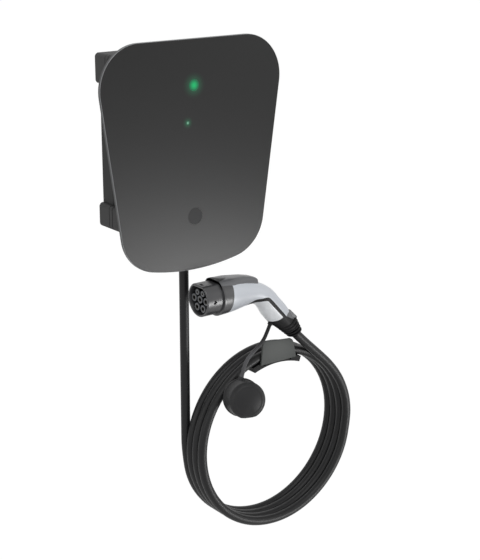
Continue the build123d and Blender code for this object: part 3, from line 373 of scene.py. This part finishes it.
# %% Camera
camera_data = bpy.data.cameras.new("camera")
camera = bpy.data.objects.new("camera", camera_data)
bpy.context.scene.collection.objects.link(camera)
camera_data.lens = 86.22
camera_data.sensor_width = 36.0
camera_data.clip_start = 0.05
right = Vector((0.80167, -0.59776, 0.0))
up = Vector((0.17420, 0.23362, 0.95660))
back = Vector((-0.57182, -0.76688, 0.29141))
turn = Matrix((right, up, back)).transposed().to_4x4()
camera.matrix_world = Matrix.Translation((-1.1869, -1.8112, 0.4066)) @ turn
bpy.context.scene.camera = camera
print("camera at", [round(value, 3) for value in camera.matrix_world.translation])

# %% [markdown]
# The charging cable is one cable from the gland to the strain relief: a straight fall, three and a
# half turns over the hanger and a tail that rises to the connector. A NURBS curve with a round
# bevel is a cable's own shape, and it bends without kinks. Each turn has sixteen control points on
# a circle that is a little larger than the turn, because the curve runs inside its control points,
# and each turn lies one diameter nearer to the viewer than the one before. The fall and the tail
# have a few listed points.

# %% The charging cable
cable_diameter = 16.1 * MM
gland_depth = 65.0 * MM
coil_radius = 156.0 * MM
coil_centre = (156.0 * MM, -537.0 * MM)
coil_turns = 3.5
points_per_turn = 16


def cord_curve(name, points, diameter, finish):
    """A round cord along a NURBS curve of order three."""
    data = bpy.data.curves.new(name, "CURVE")
    data.dimensions = "3D"
    data.bevel_depth = diameter / 2
    data.bevel_resolution = 6
    data.resolution_u = 10
    data.use_fill_caps = True
    spline = data.splines.new("NURBS")
    spline.points.add(len(points) - 1)
    for point, place in zip(spline.points, points):
        point.co = (*place, 1.0)
    spline.order_u = 3
    spline.use_endpoint_u = True
    made = bpy.data.objects.new(name, data)
    bpy.context.scene.collection.objects.link(made)
    data.materials.append(finish)
    return made


fall_heights = (-164.0, -220.0, -300.0, -380.0, -440.0, -490.0)
cable_points = [(0.0, -gland_depth, height * MM) for height in fall_heights]
swell = 1 / (0.5 + 0.5 * cos(2 * pi / points_per_turn)) ** 0.5
steps = int(points_per_turn * coil_turns)
end_swells = {0: 1.0, steps: 1.006}
for index in range(steps + 1):
    angle = 2 * pi * index / points_per_turn
    depth = gland_depth + cable_diameter * angle / (2 * pi)
    radius = coil_radius * end_swells.get(index, swell)
    cable_points.append((coil_centre[0] - radius * cos(angle), -depth,
                         coil_centre[1] - radius * sin(angle)))
tail_points = [
    (311.3, -121.35, -507.0), (303.4, -121.35, -478.9), (288.3, -121.35, -450.0),
    (265.5, -121.35, -422.1), (238.9, -121.35, -397.1), (212.6, -121.35, -373.0),
    (192.25, -121.35, -353.08),
]
cable_points += [tuple(value * MM for value in point) for point in tail_points]
cable = cord_curve("charging_cable", cable_points, cable_diameter, sheath)
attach(cable, "root")
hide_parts("charging_cable_drop", "charging_cable_coil", "charging_cable_tail")
print("cable points:", len(cable_points))

# %% [markdown]
# The tether is a round rubber cord that keeps the cap at the connector. It leaves the foot of the
# handle, falls over the lip of the hanger and ends in the cap, so the same kind of curve makes it.

# %% The tether of the cap
tether_points = [
    (135.6, -121.63, -326.0), (128.5, -123.5, -337.0), (117.5, -126.5, -350.5),
    (94.0, -129.5, -364.5), (81.0, -131.5, -372.5), (72.9, -133.0, -385.0),
    (67.4, -134.0, -401.0), (65.5, -134.4, -406.0),
]
tether_points = [tuple(value * MM for value in point) for point in tether_points]
tether = cord_curve("cap_strap", tether_points, 6.4 * MM, strap_rubber)
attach(tether, "root")
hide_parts("cap_tether")
print("tether points:", len(tether_points))

# %% [markdown]
# The handle is one smooth body with oval sections that bends from the nose down to the cable. A
# few listed sections give its way, tilt, thickness and width. More sections between them
# follow a cubic curve, so the body has no kinks. Faces join each section's ring to the next one.

# %% The smooth body of the handle
nose_axis = (-121.35, -254.0)
collar_x = 19.8
reach, fall, collar = 171.0, 100.5, 64.0
sections = [
    (0.000, 0.000, 0.0, 1.000, 1.000), (0.164, 0.012, 0.0, 0.915, 0.920),
    (0.327, 0.040, -2.0, 0.705, 0.760), (0.444, 0.066, -8.0, 0.600, 0.680),
    (0.544, 0.135, -26.0, 0.580, 0.640), (0.617, 0.240, -42.0, 0.610, 0.620),
    (0.678, 0.375, -46.0, 0.645, 0.620), (0.760, 0.532, -46.0, 0.650, 0.600),
    (0.845, 0.682, -46.0, 0.550, 0.540), (0.937, 0.841, -50.0, 0.455, 0.455),
]
around = 56


def side_point(along, down):
    """A point of the connector's side view in millimetres, x and z."""
    return collar_x + along * reach, nose_axis[1] - down * fall


def between(values, count):
    """Rows of numbers with more rows between them, on a cubic curve through each."""
    rows = []
    for index in range(len(values) - 1):
        row = values[max(index - 1, 0):index + 3]
        if index == 0:
            row = [values[0]] + row
        if len(row) < 4:
            row = row + [values[-1]]
        for step in range(count):
            t = step / count
            rows.append(tuple(
                0.5 * (2 * b + (c - a) * t + (2 * a - 5 * b + 4 * c - d) * t ** 2
                       + (3 * b - a - 3 * c + d) * t ** 3)
                for a, b, c, d in zip(*row)))
    rows.append(values[-1])
    return rows


def skin(shape, loops):
    """Faces from each loop of vertices to the next one, and a face on each end."""
    for first, second in zip(loops, loops[1:]):
        for index in range(len(first)):
            after = (index + 1) % len(first)
            shape.faces.new((first[index], first[after], second[after], second[index]))
    shape.faces.new(loops[0])
    shape.faces.new(loops[-1][::-1])


def handle_ring(shape, along, down, tilt, thick, wide):
    """One oval section of the handle as a loop of vertices."""
    x, z = side_point(along, down)
    lean = radians(tilt)
    ring = []
    for index in range(around):
        angle = 2 * pi * index / around
        across = wide * collar / 2 * cos(angle)
        rise = thick * collar / 2 * sin(angle)
        ring.append(shape.verts.new(((x - rise * sin(lean)) * MM, (nose_axis[0] + across) * MM,
                                     (z + rise * cos(lean)) * MM)))
    return ring


shape = bmesh.new()
skin(shape, [handle_ring(shape, *section) for section in between(sections, 5)])
bmesh.ops.recalc_face_normals(shape, faces=shape.faces)
body_mesh = bpy.data.meshes.new("handle_body")
shape.to_mesh(body_mesh)
print("handle body faces:", len(shape.faces))
shape.free()

# %% [markdown]
# Every edited shape becomes an object with one finish. A real moulded edge is never sharp, so each
# edge gets a small round, and the faces are shaded smooth.

# %% Helpers that make and finish a piece
CREASE = 40.0


def new_object(name, mesh, finish):
    """An object for a mesh with one finish, linked to the scene."""
    made = bpy.data.objects.new(name, mesh)
    mesh.materials.clear()
    mesh.materials.append(finish)
    bpy.context.scene.collection.objects.link(made)
    return made


def from_shape(name, shape, finish):
    """An object from an edited shape, with its normals outward. The shape is freed."""
    bmesh.ops.recalc_face_normals(shape, faces=shape.faces)
    mesh = bpy.data.meshes.new(name)
    shape.to_mesh(mesh)
    shape.free()
    return new_object(name, mesh, finish)


def soften(piece, width_mm, segments=2, sharp=30.0):
    """Smooth faces, with a small round on each edge that is sharper than an angle."""
    shape = bmesh.new()
    shape.from_mesh(piece.data)
    bmesh.ops.remove_doubles(shape, verts=shape.verts, dist=0.02 * MM)
    bmesh.ops.dissolve_degenerate(shape, edges=shape.edges, dist=0.01 * MM)
    limit = radians(sharp)
    edges = [e for e in shape.edges if len(e.link_faces) == 2 and e.calc_face_angle(0) > limit]
    if width_mm:
        bmesh.ops.bevel(shape, geom=edges, offset=width_mm * MM, offset_type="OFFSET",
                        segments=segments, profile=0.5, affect="EDGES", clamp_overlap=True,
                        material=-1)
    for face in shape.faces:
        face.smooth = True
    for edge in shape.edges:
        if len(edge.link_faces) == 2 and edge.calc_face_angle(0) > radians(CREASE):
            edge.smooth = False
    shape.to_mesh(piece.data)
    shape.free()
    piece.data.update()


print("edges stay sharp above", CREASE, "degrees")

# %% [markdown]
# The moulded pieces of the handle meet along parting lines. Each piece is what the body shares
# with a prism across it, whose outline is the piece's outline in the side view. Outlines are given
# as shares of the handle's reach and fall, so they follow its size.

# %% Helpers that cut a piece


def prism_shape(outline, half_width=45.0, middle=None):
    """A prism across the connector with an outline in the side view, in millimetres."""
    middle = nose_axis[0] if middle is None else middle
    made = bmesh.new()
    near = [made.verts.new((x * MM, (middle - half_width) * MM, z * MM)) for x, z in outline]
    face = made.faces.new(near)
    grown = bmesh.ops.extrude_face_region(made, geom=[face])["geom"]
    bmesh.ops.translate(made, vec=(0, 2 * half_width * MM, 0),
                        verts=[v for v in grown if isinstance(v, bmesh.types.BMVert)])
    bmesh.ops.recalc_face_normals(made, faces=made.faces)
    mesh = bpy.data.meshes.new("prism")
    made.to_mesh(mesh)
    made.free()
    return bpy.data.objects.new("prism", mesh)


def cut_with(piece, tool, operation, finish):
    """Apply one boolean step to a piece."""
    bpy.context.scene.collection.objects.link(tool)
    change = piece.modifiers.new("cut", "BOOLEAN")
    change.operation = operation
    change.solver = "EXACT"
    change.object = tool
    ready = piece.evaluated_get(bpy.context.evaluated_depsgraph_get())
    result = bpy.data.meshes.new_from_object(ready)
    piece.modifiers.clear()
    bpy.data.objects.remove(tool)
    result.name = piece.name
    result.materials.clear()
    result.materials.append(finish)
    piece.data = result


def place_points(shares):
    """Side view points from shares of the handle's reach and fall."""
    return [side_point(*share) for share in shares]


def bow(shares, count=8):
    """A smooth curve through three points."""
    (x0, z0), (x1, z1), (x2, z2) = place_points(shares)
    points = []
    for step in range(count + 1):
        t = step / count
        a, b, c = 2 * (t - 0.5) * (t - 1), -4 * t * (t - 1), 2 * t * (t - 0.5)
        points.append((a * x0 + b * x1 + c * x2, a * z0 + b * z1 + c * z2))
    return points


print("the handle ends at", [round(value, 1) for value in side_point(*sections[-1][:2])])

# %% [markdown]
# Six parting outlines divide the handle. A bowed line ends the dark sleeve, the black stripe is a
# hook between two curves, and the inlay and the foot lie below it. Neighbours use the same points,
# so that no gap opens between them, and the outer points lie outside the body.

# %% Outlines of the six moulded pieces
sleeve_bow = bow([(0.190, -0.60), (0.108, 0.06), (0.115, 0.60)])
stripe_outer = between(place_points([
    (0.210, 0.420), (0.371, 0.165), (0.504, 0.146), (0.566, 0.148), (0.609, 0.197),
    (0.690, 0.346), (0.804, 0.560)]), 4)
stripe_inner = between(place_points([
    (0.760, 0.560), (0.665, 0.390), (0.584, 0.240), (0.553, 0.208), (0.492, 0.208),
    (0.407, 0.225), (0.395, 0.420)]), 4)
clip_line = place_points([(0.825, 0.525), (0.960, 0.470), (1.150, 0.600)])
inlay_line = place_points([(0.560, 0.700), (0.650, 0.640), (0.716, 0.605)])
outlines = {
    "dark_sleeve": place_points([(-0.2, 0.6), (-0.2, -0.6)]) + sleeve_bow,
    "pale_shell": (sleeve_bow + place_points([(0.210, 0.600)]) + stripe_outer + clip_line
                   + place_points([(1.3, -0.6)])),
    "soft_stripe": stripe_outer + stripe_inner,
    "pale_inlay": stripe_inner + place_points([(0.395, 0.85), (0.480, 0.85)]) + inlay_line,
    "handle_foot": inlay_line + place_points([
        (0.760, 0.560), (0.804, 0.560), (0.977, 0.715), (1.150, 0.600), (1.2, 1.3), (0.5, 1.3)]),
    "clip": [stripe_outer[-1]] + clip_line + place_points([(0.977, 0.715)]),
}
print("points of each outline:", {name: len(points) for name, points in outlines.items()})

# %% [markdown]
# On the real handle each of these is a moulding of its own in its own plastic, so each is cut from
# a copy of the body. The round on its edges leaves the fine groove that a parting line shows.

# %% The six moulded pieces of the handle


def cut_piece(name, finish, round_mm):
    """What the body shares with the prism of an outline, with rounded edges."""
    made = new_object(name, body_mesh.copy(), finish)
    cut_with(made, prism_shape(outlines[name]), "INTERSECT", finish)
    soften(made, round_mm)
    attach(made, "root")
    print(name, "vertices:", len(made.data.vertices))
    return made


sleeve = cut_piece("dark_sleeve", polyamide, 0.5)
shell = cut_piece("pale_shell", grip, 0.35)
stripe = cut_piece("soft_stripe", soft_black, 0.35)
inlay = cut_piece("pale_inlay", inlay_white, 0.35)
lower = cut_piece("handle_foot", soft_black, 0.4)
clip = cut_piece("clip", tab_grey, 0.4)
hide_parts("connector_sleeve")
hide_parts("handle_shell")
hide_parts("handle_stripe")
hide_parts("handle_inlay")
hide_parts("handle_end")
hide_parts("handle_clip")

# %% [markdown]
# The release tab is the lever on the grip's back that frees the lock. It is a plate with an outline
# of its own, so a prism with wide rounds is all that it needs.

# %% Release tab


def plate(name, outline, half_width, middle, finish, **rounds):
    """A flat moulded plate with rounded edges."""
    made = prism_shape(outline, half_width, middle)
    bpy.context.scene.collection.objects.link(made)
    made.name = made.data.name = name
    made.data.materials.append(finish)
    soften(made, **rounds)
    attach(made, "root")
    return made


tab_outline = place_points([(0.790, 0.560), (0.865, 0.487), (0.895, 0.495), (0.985, 0.648),
                            (0.968, 0.700), (0.920, 0.730)])
tab = plate("release_tab", tab_outline, 10.0, nose_axis[0], tab_grey, width_mm=1.6, segments=4,
            sharp=20.0)
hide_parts("handle_clip")
print("tab faces:", len(tab.data.polygons))

# %% [markdown]
# The cover over the lock is a tongue that starts at the collar, tapers and sinks towards its tip.
# Its cross-sections are loaf shaped: flat below, with full shoulders above. Two lines of shares
# give its height and width along the way, and the last sections shrink to round the tip.

# %% Lock cover
cover_length, cover_width, cover_height, cover_base = 88.0, 48.0, 33.0, 3.3
tip_radius, tip_least, cover_reach = 7.0, 1.0, 33.5
loaf_power, loaf_steps = 0.45, 32
height_shares = [(0.0, 0.88), (0.30, 0.88), (0.62, 0.81), (0.80, 0.71), (0.93, 0.58), (1.0, 0.44)]
width_shares = [(0.0, 1.0), (0.30, 0.92), (0.65, 0.52), (1.0, 0.36)]
stations = [index / 24 for index in range(22)] + [0.92, 0.95, 0.975, 0.99, 1.0]


def along_line(points, share):
    """The value at a share, on straight lines between pairs of a share and a value."""
    for (a, low), (b, high) in zip(points, points[1:]):
        if share <= b:
            t = (share - a) / (b - a)
            return low + (high - low) * t
    return points[-1][1]


def cover_ring(shape, share):
    """One loaf-shaped section of the cover, at a share of its length."""
    half = along_line(width_shares, share) * cover_width / 2
    height = along_line(height_shares, share) * cover_height
    left = (1 - share) * cover_length
    if left < tip_radius:
        half = max(half - tip_radius + (tip_radius ** 2 - (tip_radius - left) ** 2) ** 0.5,
                   tip_least)
    ring = []
    for index in range(loaf_steps + 1):
        angle = pi * index / loaf_steps
        across = half * abs(cos(angle)) ** loaf_power * (1 if cos(angle) > 0 else -1)
        rise = cover_base + (height - cover_base) * sin(angle) ** loaf_power
        rise = min(rise, (cover_reach ** 2 - across ** 2) ** 0.5)
        ring.append(shape.verts.new(((collar_x + share * cover_length) * MM,
                                     (nose_axis[0] + across) * MM, (nose_axis[1] + rise) * MM)))
    return ring


shape = bmesh.new()
skin(shape, [cover_ring(shape, share) for share in stations])
cover = from_shape("lock_cover_tongue", shape, cover_painted_highlight_polyamide)
soften(cover, 0.8, 3, 50.0)
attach(cover, "root")
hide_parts("lock_cover")
print("lock cover faces:", len(cover.data.polygons))

# %% [markdown]
# The nose is a thick tube with a flat top, so the plug only fits one way up. Loops of its outline
# run from the collar to the face, over the rounded rim and down into the recess for the contacts.

# %% Nose of the connector
nose_radius, nose_flat, nose_wall, nose_face, nose_depth = 28.2, 24.4, 3.2, -11.2, 24.0
rim_round, arc_steps, flat_steps = 1.4, 60, 6


def nose_loop(shape, inset, x):
    """One loop of the nose: a circle with a flat top, moved inwards."""
    radius, flat = nose_radius - inset, nose_flat - inset
    start = pi / 2 + acos(flat / radius)
    sweep = 2 * pi - 2 * acos(flat / radius)
    ring = [(radius * cos(start + sweep * i / arc_steps),
             radius * sin(start + sweep * i / arc_steps)) for i in range(arc_steps + 1)]
    (y0, z0), (y1, _) = ring[-1], ring[0]
    ring += [(y0 + (y1 - y0) * i / flat_steps, z0) for i in range(1, flat_steps)]
    return [shape.verts.new((x * MM, (nose_axis[0] + y) * MM, (nose_axis[1] + z) * MM))
            for y, z in ring]


rows = [(0.0, collar_x), (0.0, nose_face + rim_round)]
rows += [(rim_round * (1 - cos(radians(a))), nose_face + rim_round * (1 - sin(radians(a))))
         for a in (15, 30, 45, 60, 75, 90)]
rows += [(nose_wall - 0.6, nose_face), (nose_wall - 0.2, nose_face + 0.2),
         (nose_wall, nose_face + 0.6), (nose_wall, nose_face + nose_depth)]
shape = bmesh.new()
skin(shape, [nose_loop(shape, inset, x) for inset, x in rows])
nose = from_shape("connector_nose_tube", shape, polyamide)
print("loops of the nose:", len(rows))

# %% [markdown]
# The charging socket holds the plug with a pin, which enters a round hole in the nose's side, and a
# slot in the flat marks the coding. One cylinder and one small block, taken away together by a
# boolean, make both. The edges stay as cut.

# %% Pin hole and slot of the nose
pin_radius, pin_depth, pin_x = 3.3, 6.0, 2.8
slot_size, slot_behind = (5.0, 8.0, 3.0), 7.0
shape = bmesh.new()
pin_place = (pin_x * MM, (nose_axis[0] - nose_radius) * MM, nose_axis[1] * MM)
bmesh.ops.create_cone(shape, segments=32, radius1=pin_radius * MM, radius2=pin_radius * MM,
                      depth=pin_depth * MM, cap_ends=True,
                      matrix=Matrix.Translation(pin_place) @ Matrix.Rotation(pi / 2, 4, "X"))
slot_place = ((nose_face + slot_behind) * MM, nose_axis[0] * MM, (nose_axis[1] + nose_flat) * MM)
slot_scale = Matrix.Diagonal((*[value * MM for value in slot_size], 1.0))
bmesh.ops.create_cube(shape, size=1.0, matrix=Matrix.Translation(slot_place) @ slot_scale)
tool_mesh = bpy.data.meshes.new("lock_pin")
shape.to_mesh(tool_mesh)
shape.free()
cut_with(nose, bpy.data.objects.new("lock_pin", tool_mesh), "DIFFERENCE", polyamide)
soften(nose, 0, sharp=50.0)
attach(nose, "root")
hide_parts("connector_nose")
print("nose faces:", len(nose.data.polygons))

# %% [markdown]
# The hanger's lip is a small plate in front of the coil, which keeps the turns from slipping off.
# Its bottom edge is level, its top edge falls a little to the right, and its corners are rounded.

# %% Lip of the hanger
lip_outline = [(117.9, -396.4), (193.4, -396.4), (194.3, -394.0), (189.0, -368.5),
               (186.5, -363.5), (181.5, -359.8), (125.2, -354.4), (122.6, -356.2)]
lip = plate("hanger_lip_plate", lip_outline, 1.5, -119.5, lip_grey, width_mm=0.7, segments=3,
            sharp=50.0)
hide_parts("hanger_lip")
print("lip faces:", len(lip.data.polygons))

# %% [markdown]
# The strain relief is a turned shape: a profile with five round ribs, spun about the cable's way
# out. Its outline is in millimetres, across the axis and along it. The ribs stand a little aslant,
# so the turned shape is sheared: its underside slides towards the handle.

# %% Strain relief
relief_bore, relief_root, relief_tip, relief_edge = 8.2, 13.0, 10.0, 0.6
relief_start, relief_end = -17.0, 19.0
ribs = [(-13.5, 14.9), (-6.6, 13.6), (0.3, 12.3), (7.2, 11.0), (14.1, 9.7)]
rib_rise, rib_half, rib_steps = 4.2, 1.9, 8
rib_slant, slant_middle = 0.24, 4.0


def turned(shape, outline, steps):
    """Spin an outline of radii and heights, in millimetres, about the Z axis."""
    line = [shape.verts.new((radius * MM, 0, height * MM)) for radius, height in outline]
    edges = [shape.edges.new(pair) for pair in zip(line, line[1:])]
    bmesh.ops.spin(shape, geom=line + edges, axis=(0, 0, 1), cent=(0, 0, 0), angle=2 * pi,
                   steps=steps, use_merge=True)


outline = [(relief_bore, relief_start), (relief_root, relief_start)]
for middle, radius in ribs:
    for step in range(rib_steps + 1):
        angle = pi * step / rib_steps
        outline.append((radius + rib_rise * sin(angle), middle - rib_half * cos(angle)))
outline += [(relief_tip, relief_end - relief_edge), (relief_tip - relief_edge, relief_end),
            (relief_bore, relief_end)]
shape = bmesh.new()
turned(shape, outline, 48)
for vertex in shape.verts:
    vertex.co.z += rib_slant * (vertex.co.y - slant_middle * MM)
along, down, tilt = sections[-1][:3]
x, z = side_point(along, down)
way = Vector((cos(radians(tilt)), 0, sin(radians(tilt))))
side = Vector((0, 1, 0))
turn = Matrix((side, way.cross(side), way)).transposed().to_4x4()
bmesh.ops.transform(shape, verts=shape.verts,
                    matrix=Matrix.Translation((x * MM, nose_axis[0] * MM, z * MM)) @ turn)
relief = from_shape("ribbed_strain_relief", shape, soft_black)
soften(relief, 0)
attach(relief, "root")
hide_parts("strain_relief")
print("strain relief faces:", len(relief.data.polygons))

# %% [markdown]
# The cap is a soft cup with one flat side, so it only goes on the nose one way up. Loops of its
# outline are stacked from the cup's floor over the rim, whose flange is raised, and along the wall
# to the end: straight walls, a round, then a slightly domed end.

# %% Protective cap
cap_middle, cap_yaw, cap_pitch = (59.7, -154.2, -432.2), -19.0, -12.0
cap_radius, cap_inner, cap_length, cap_round, cap_flat = 31.2, 28.7, 46.5, 9.0, 29.5
cap_floor, inner_round, cap_dome, last_turn = 3.0, 6.0, 4.2, radians(70)
flat_angle, cap_arc_steps, cap_flat_steps = 0.42, 56, 8


def cap_loop(shape, inset, depth, scale=1.0):
    """One loop of the cap: a circle with a flat bottom, moved inwards or scaled."""
    radius, flat = cap_radius - inset, cap_flat - inset
    start, sweep = -pi / 2 + flat_angle, 2 * pi - 2 * flat_angle
    ring = [(radius * cos(start + sweep * i / cap_arc_steps),
             radius * sin(start + sweep * i / cap_arc_steps)) for i in range(cap_arc_steps + 1)]
    x, z = ring[0]
    for step in range(1, cap_flat_steps):
        t = step / cap_flat_steps
        ring.append((-x + 2 * x * t, max(-flat, z - (flat + z) * min(1.0, 4 * min(t, 1 - t)))))
    return [shape.verts.new((x * scale * MM, -depth * MM, z * scale * MM)) for x, z in ring]


def round_row(radius, angle):
    """How far a round's point at an angle in degrees lies in from its wall and from its end."""
    return radius * (1 - cos(radians(angle))), radius * (1 - sin(radians(angle)))


half_length, wall = cap_length / 2, cap_radius - cap_inner
rows = [(wall + inward, half_length - cap_floor - back)
        for inward, back in [round_row(inner_round, a) for a in (90, 75, 60, 45, 30, 15, 0)]]
rim = [(wall, 0.8), (wall - 0.5, 0.0), (-0.5, 0.0), (-1.2, 0.3), (-1.5, 1.0), (-1.5, 5.0),
       (-1.2, 5.7), (-0.6, 6.2), (0.0, 7.0)]
rows += [(inset, depth - half_length) for inset, depth in rim]
edge_inset = cap_round * (1 - cos(last_turn))
shoulder = half_length - cap_dome + cap_round * (1 - sin(last_turn))
rows += [(inward, shoulder - back)
         for inward, back in [round_row(cap_round, a) for a in (0, 10, 20, 30, 40, 50, 60)]]
shape = bmesh.new()
loops = [cap_loop(shape, inset, depth) for inset, depth in rows]
loops += [cap_loop(shape, edge_inset, half_length - cap_dome * share ** 2, share)
          for share in (1.0, 0.9, 0.8, 0.7, 0.55, 0.4, 0.25, 0.1)]
skin(shape, loops)
cap_place = Matrix.Translation([value * MM for value in cap_middle])
for degrees, axis in ((cap_yaw, "Z"), (cap_pitch, "X")):
    cap_place = cap_place @ Matrix.Rotation(radians(degrees), 4, axis)
bmesh.ops.transform(shape, verts=shape.verts, matrix=cap_place)
cap = from_shape("protective_cap", shape, cap_rubber)
soften(cap, 0, sharp=50.0)
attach(cap, "root")
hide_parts("dust_cap")
print("loops of the cap:", len(loops))

# %% [markdown]
# The tether ends in two short lugs: one grows from the foot of the handle, one from the cap's
# wall. Each is a turned stub with a rounded end, which points along the last piece of the cord.

# %% Lugs of the tether
lug_length, lug_radius = 9.0, 4.5


def lug(name, end, before, finish):
    """A round stub at a cord's end, along the cord's last way."""
    made = bmesh.new()
    turned(made, [(0.0, 0.0), (lug_radius - 0.8, 0.0), (lug_radius - 0.2, 0.2),
                  (lug_radius, 0.8), (lug_radius, lug_length), (0.0, lug_length)], 32)
    bmesh.ops.remove_doubles(made, verts=made.verts, dist=0.001 * MM)
    way = (Vector(end) - Vector(before)).normalized()
    place = Matrix.Translation(end) @ way.to_track_quat("Z", "Y").to_matrix().to_4x4()
    bmesh.ops.transform(made, verts=made.verts, matrix=place)
    piece = from_shape(name, made, finish)
    soften(piece, 0)
    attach(piece, "root")
    return piece


foot_lug = lug("strap_lug_at_handle", tether_points[0], tether_points[1], soft_black)
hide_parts("handle_end")
cap_lug = lug("strap_lug_at_cap", tether_points[-2], tether_points[-3], cap_rubber)
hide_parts("dust_cap")
print("lugs:", foot_lug.name, cap_lug.name)

# %% [markdown]
# Both cords are soft on the real object.

# %% [markdown]
# The room is a white studio with a pale floor far below and a pale world. The camera, reflections
# and rays through clear things see nearly pure white, which makes the background of the picture.
# All other rays get the floor's paint and a much weaker world, so that the lamps still give form.

# %% Floor and world
floor_half, floor_height = 40.0, -1.3
floor_share, floor_glow, world_light, world_white = 0.9, 1.08, 0.35, 1.0
pure_white = (1, 1, 1, 1)


def seen_direct(tree):
    """One for the rays of the camera, of reflections and through clear things, else zero."""
    paths = add(tree, "ShaderNodeLightPath").outputs
    first = add(tree, "ShaderNodeMath", {"operation": "MAXIMUM"}, _0=paths["Is Camera Ray"],
                _1=paths["Is Glossy Ray"]).outputs[0]
    return add(tree, "ShaderNodeMath", {"operation": "MAXIMUM"}, _0=first,
               _1=paths["Is Transmission Ray"]).outputs[0]


floor_mesh = bpy.data.meshes.new("studio_floor")
shape = bmesh.new()
bmesh.ops.create_grid(shape, x_segments=1, y_segments=1, size=floor_half)
shape.to_mesh(floor_mesh)
shape.free()
floor_mesh.transform(Matrix.Translation((0, 0, floor_height)))
floor = bpy.data.objects.new("studio_floor", floor_mesh)
bpy.context.scene.collection.objects.link(floor)
floor_white, tree, shader, _ = start_material("pale_painted_floor", 0.9, "#f4f4f4")
seen = add(tree, "ShaderNodeMath", {"operation": "MULTIPLY"}, _0=seen_direct(tree),
           _1=floor_share).outputs[0]
glow = add(tree, "ShaderNodeEmission", Color=pure_white, Strength=floor_glow)
both = add(tree, "ShaderNodeMixShader", _0=seen, _1=shader.outputs[0], _2=glow.outputs[0])
tree.links.new(both.outputs[0], tree.nodes["Material Output"].inputs["Surface"])
floor_mesh.materials.append(floor_white)

world = bpy.data.worlds.new("studio")
world.use_nodes = True
tree = world.node_tree
lit, white = [add(tree, "ShaderNodeBackground", Color=pure_white, Strength=strength)
              for strength in (world_light, world_white)]
both = add(tree, "ShaderNodeMixShader", _0=seen_direct(tree), _1=lit.outputs[0],
           _2=white.outputs[0])
tree.links.new(both.outputs[0], tree.nodes["World Output"].inputs["Surface"])
bpy.context.scene.world = world
print("floor at z =", floor_height)

# %% [markdown]
# Four square lamps light the object as in the photo. The key stands high in front, two weak ones
# fill the sides, and a low card is seen only in reflections and not by matt surfaces.

# %% Lamps


def lamp(name, place, aim, size, power):
    """A square area lamp at a place, turned towards a point."""
    data = bpy.data.lights.new(name, "AREA")
    data.size = size
    data.energy = power
    made = bpy.data.objects.new(name, data)
    made.location = place
    made.rotation_euler = (Vector(aim) - Vector(place)).to_track_quat("-Z", "Y").to_euler()
    bpy.context.scene.collection.objects.link(made)
    return made


lamp("key", (-0.8, -2.0, 2.4), (0.1, 0, -0.2), 1.6, 34)
lamp("fill", (2.2, -1.8, 0.6), (0.1, 0, -0.3), 1.8, 8)
lamp("left", (-2.4, -0.6, 0.4), (0.0, 0, -0.2), 1.4, 9)
card = lamp("low_card", (1.10, -1.60, -1.08), (0.0, -0.1, -0.2), 0.7, 24)
card.visible_diffuse = False
bpy.context.scene.view_settings.view_transform = "Standard"
print("lamps:", len(bpy.data.lights))
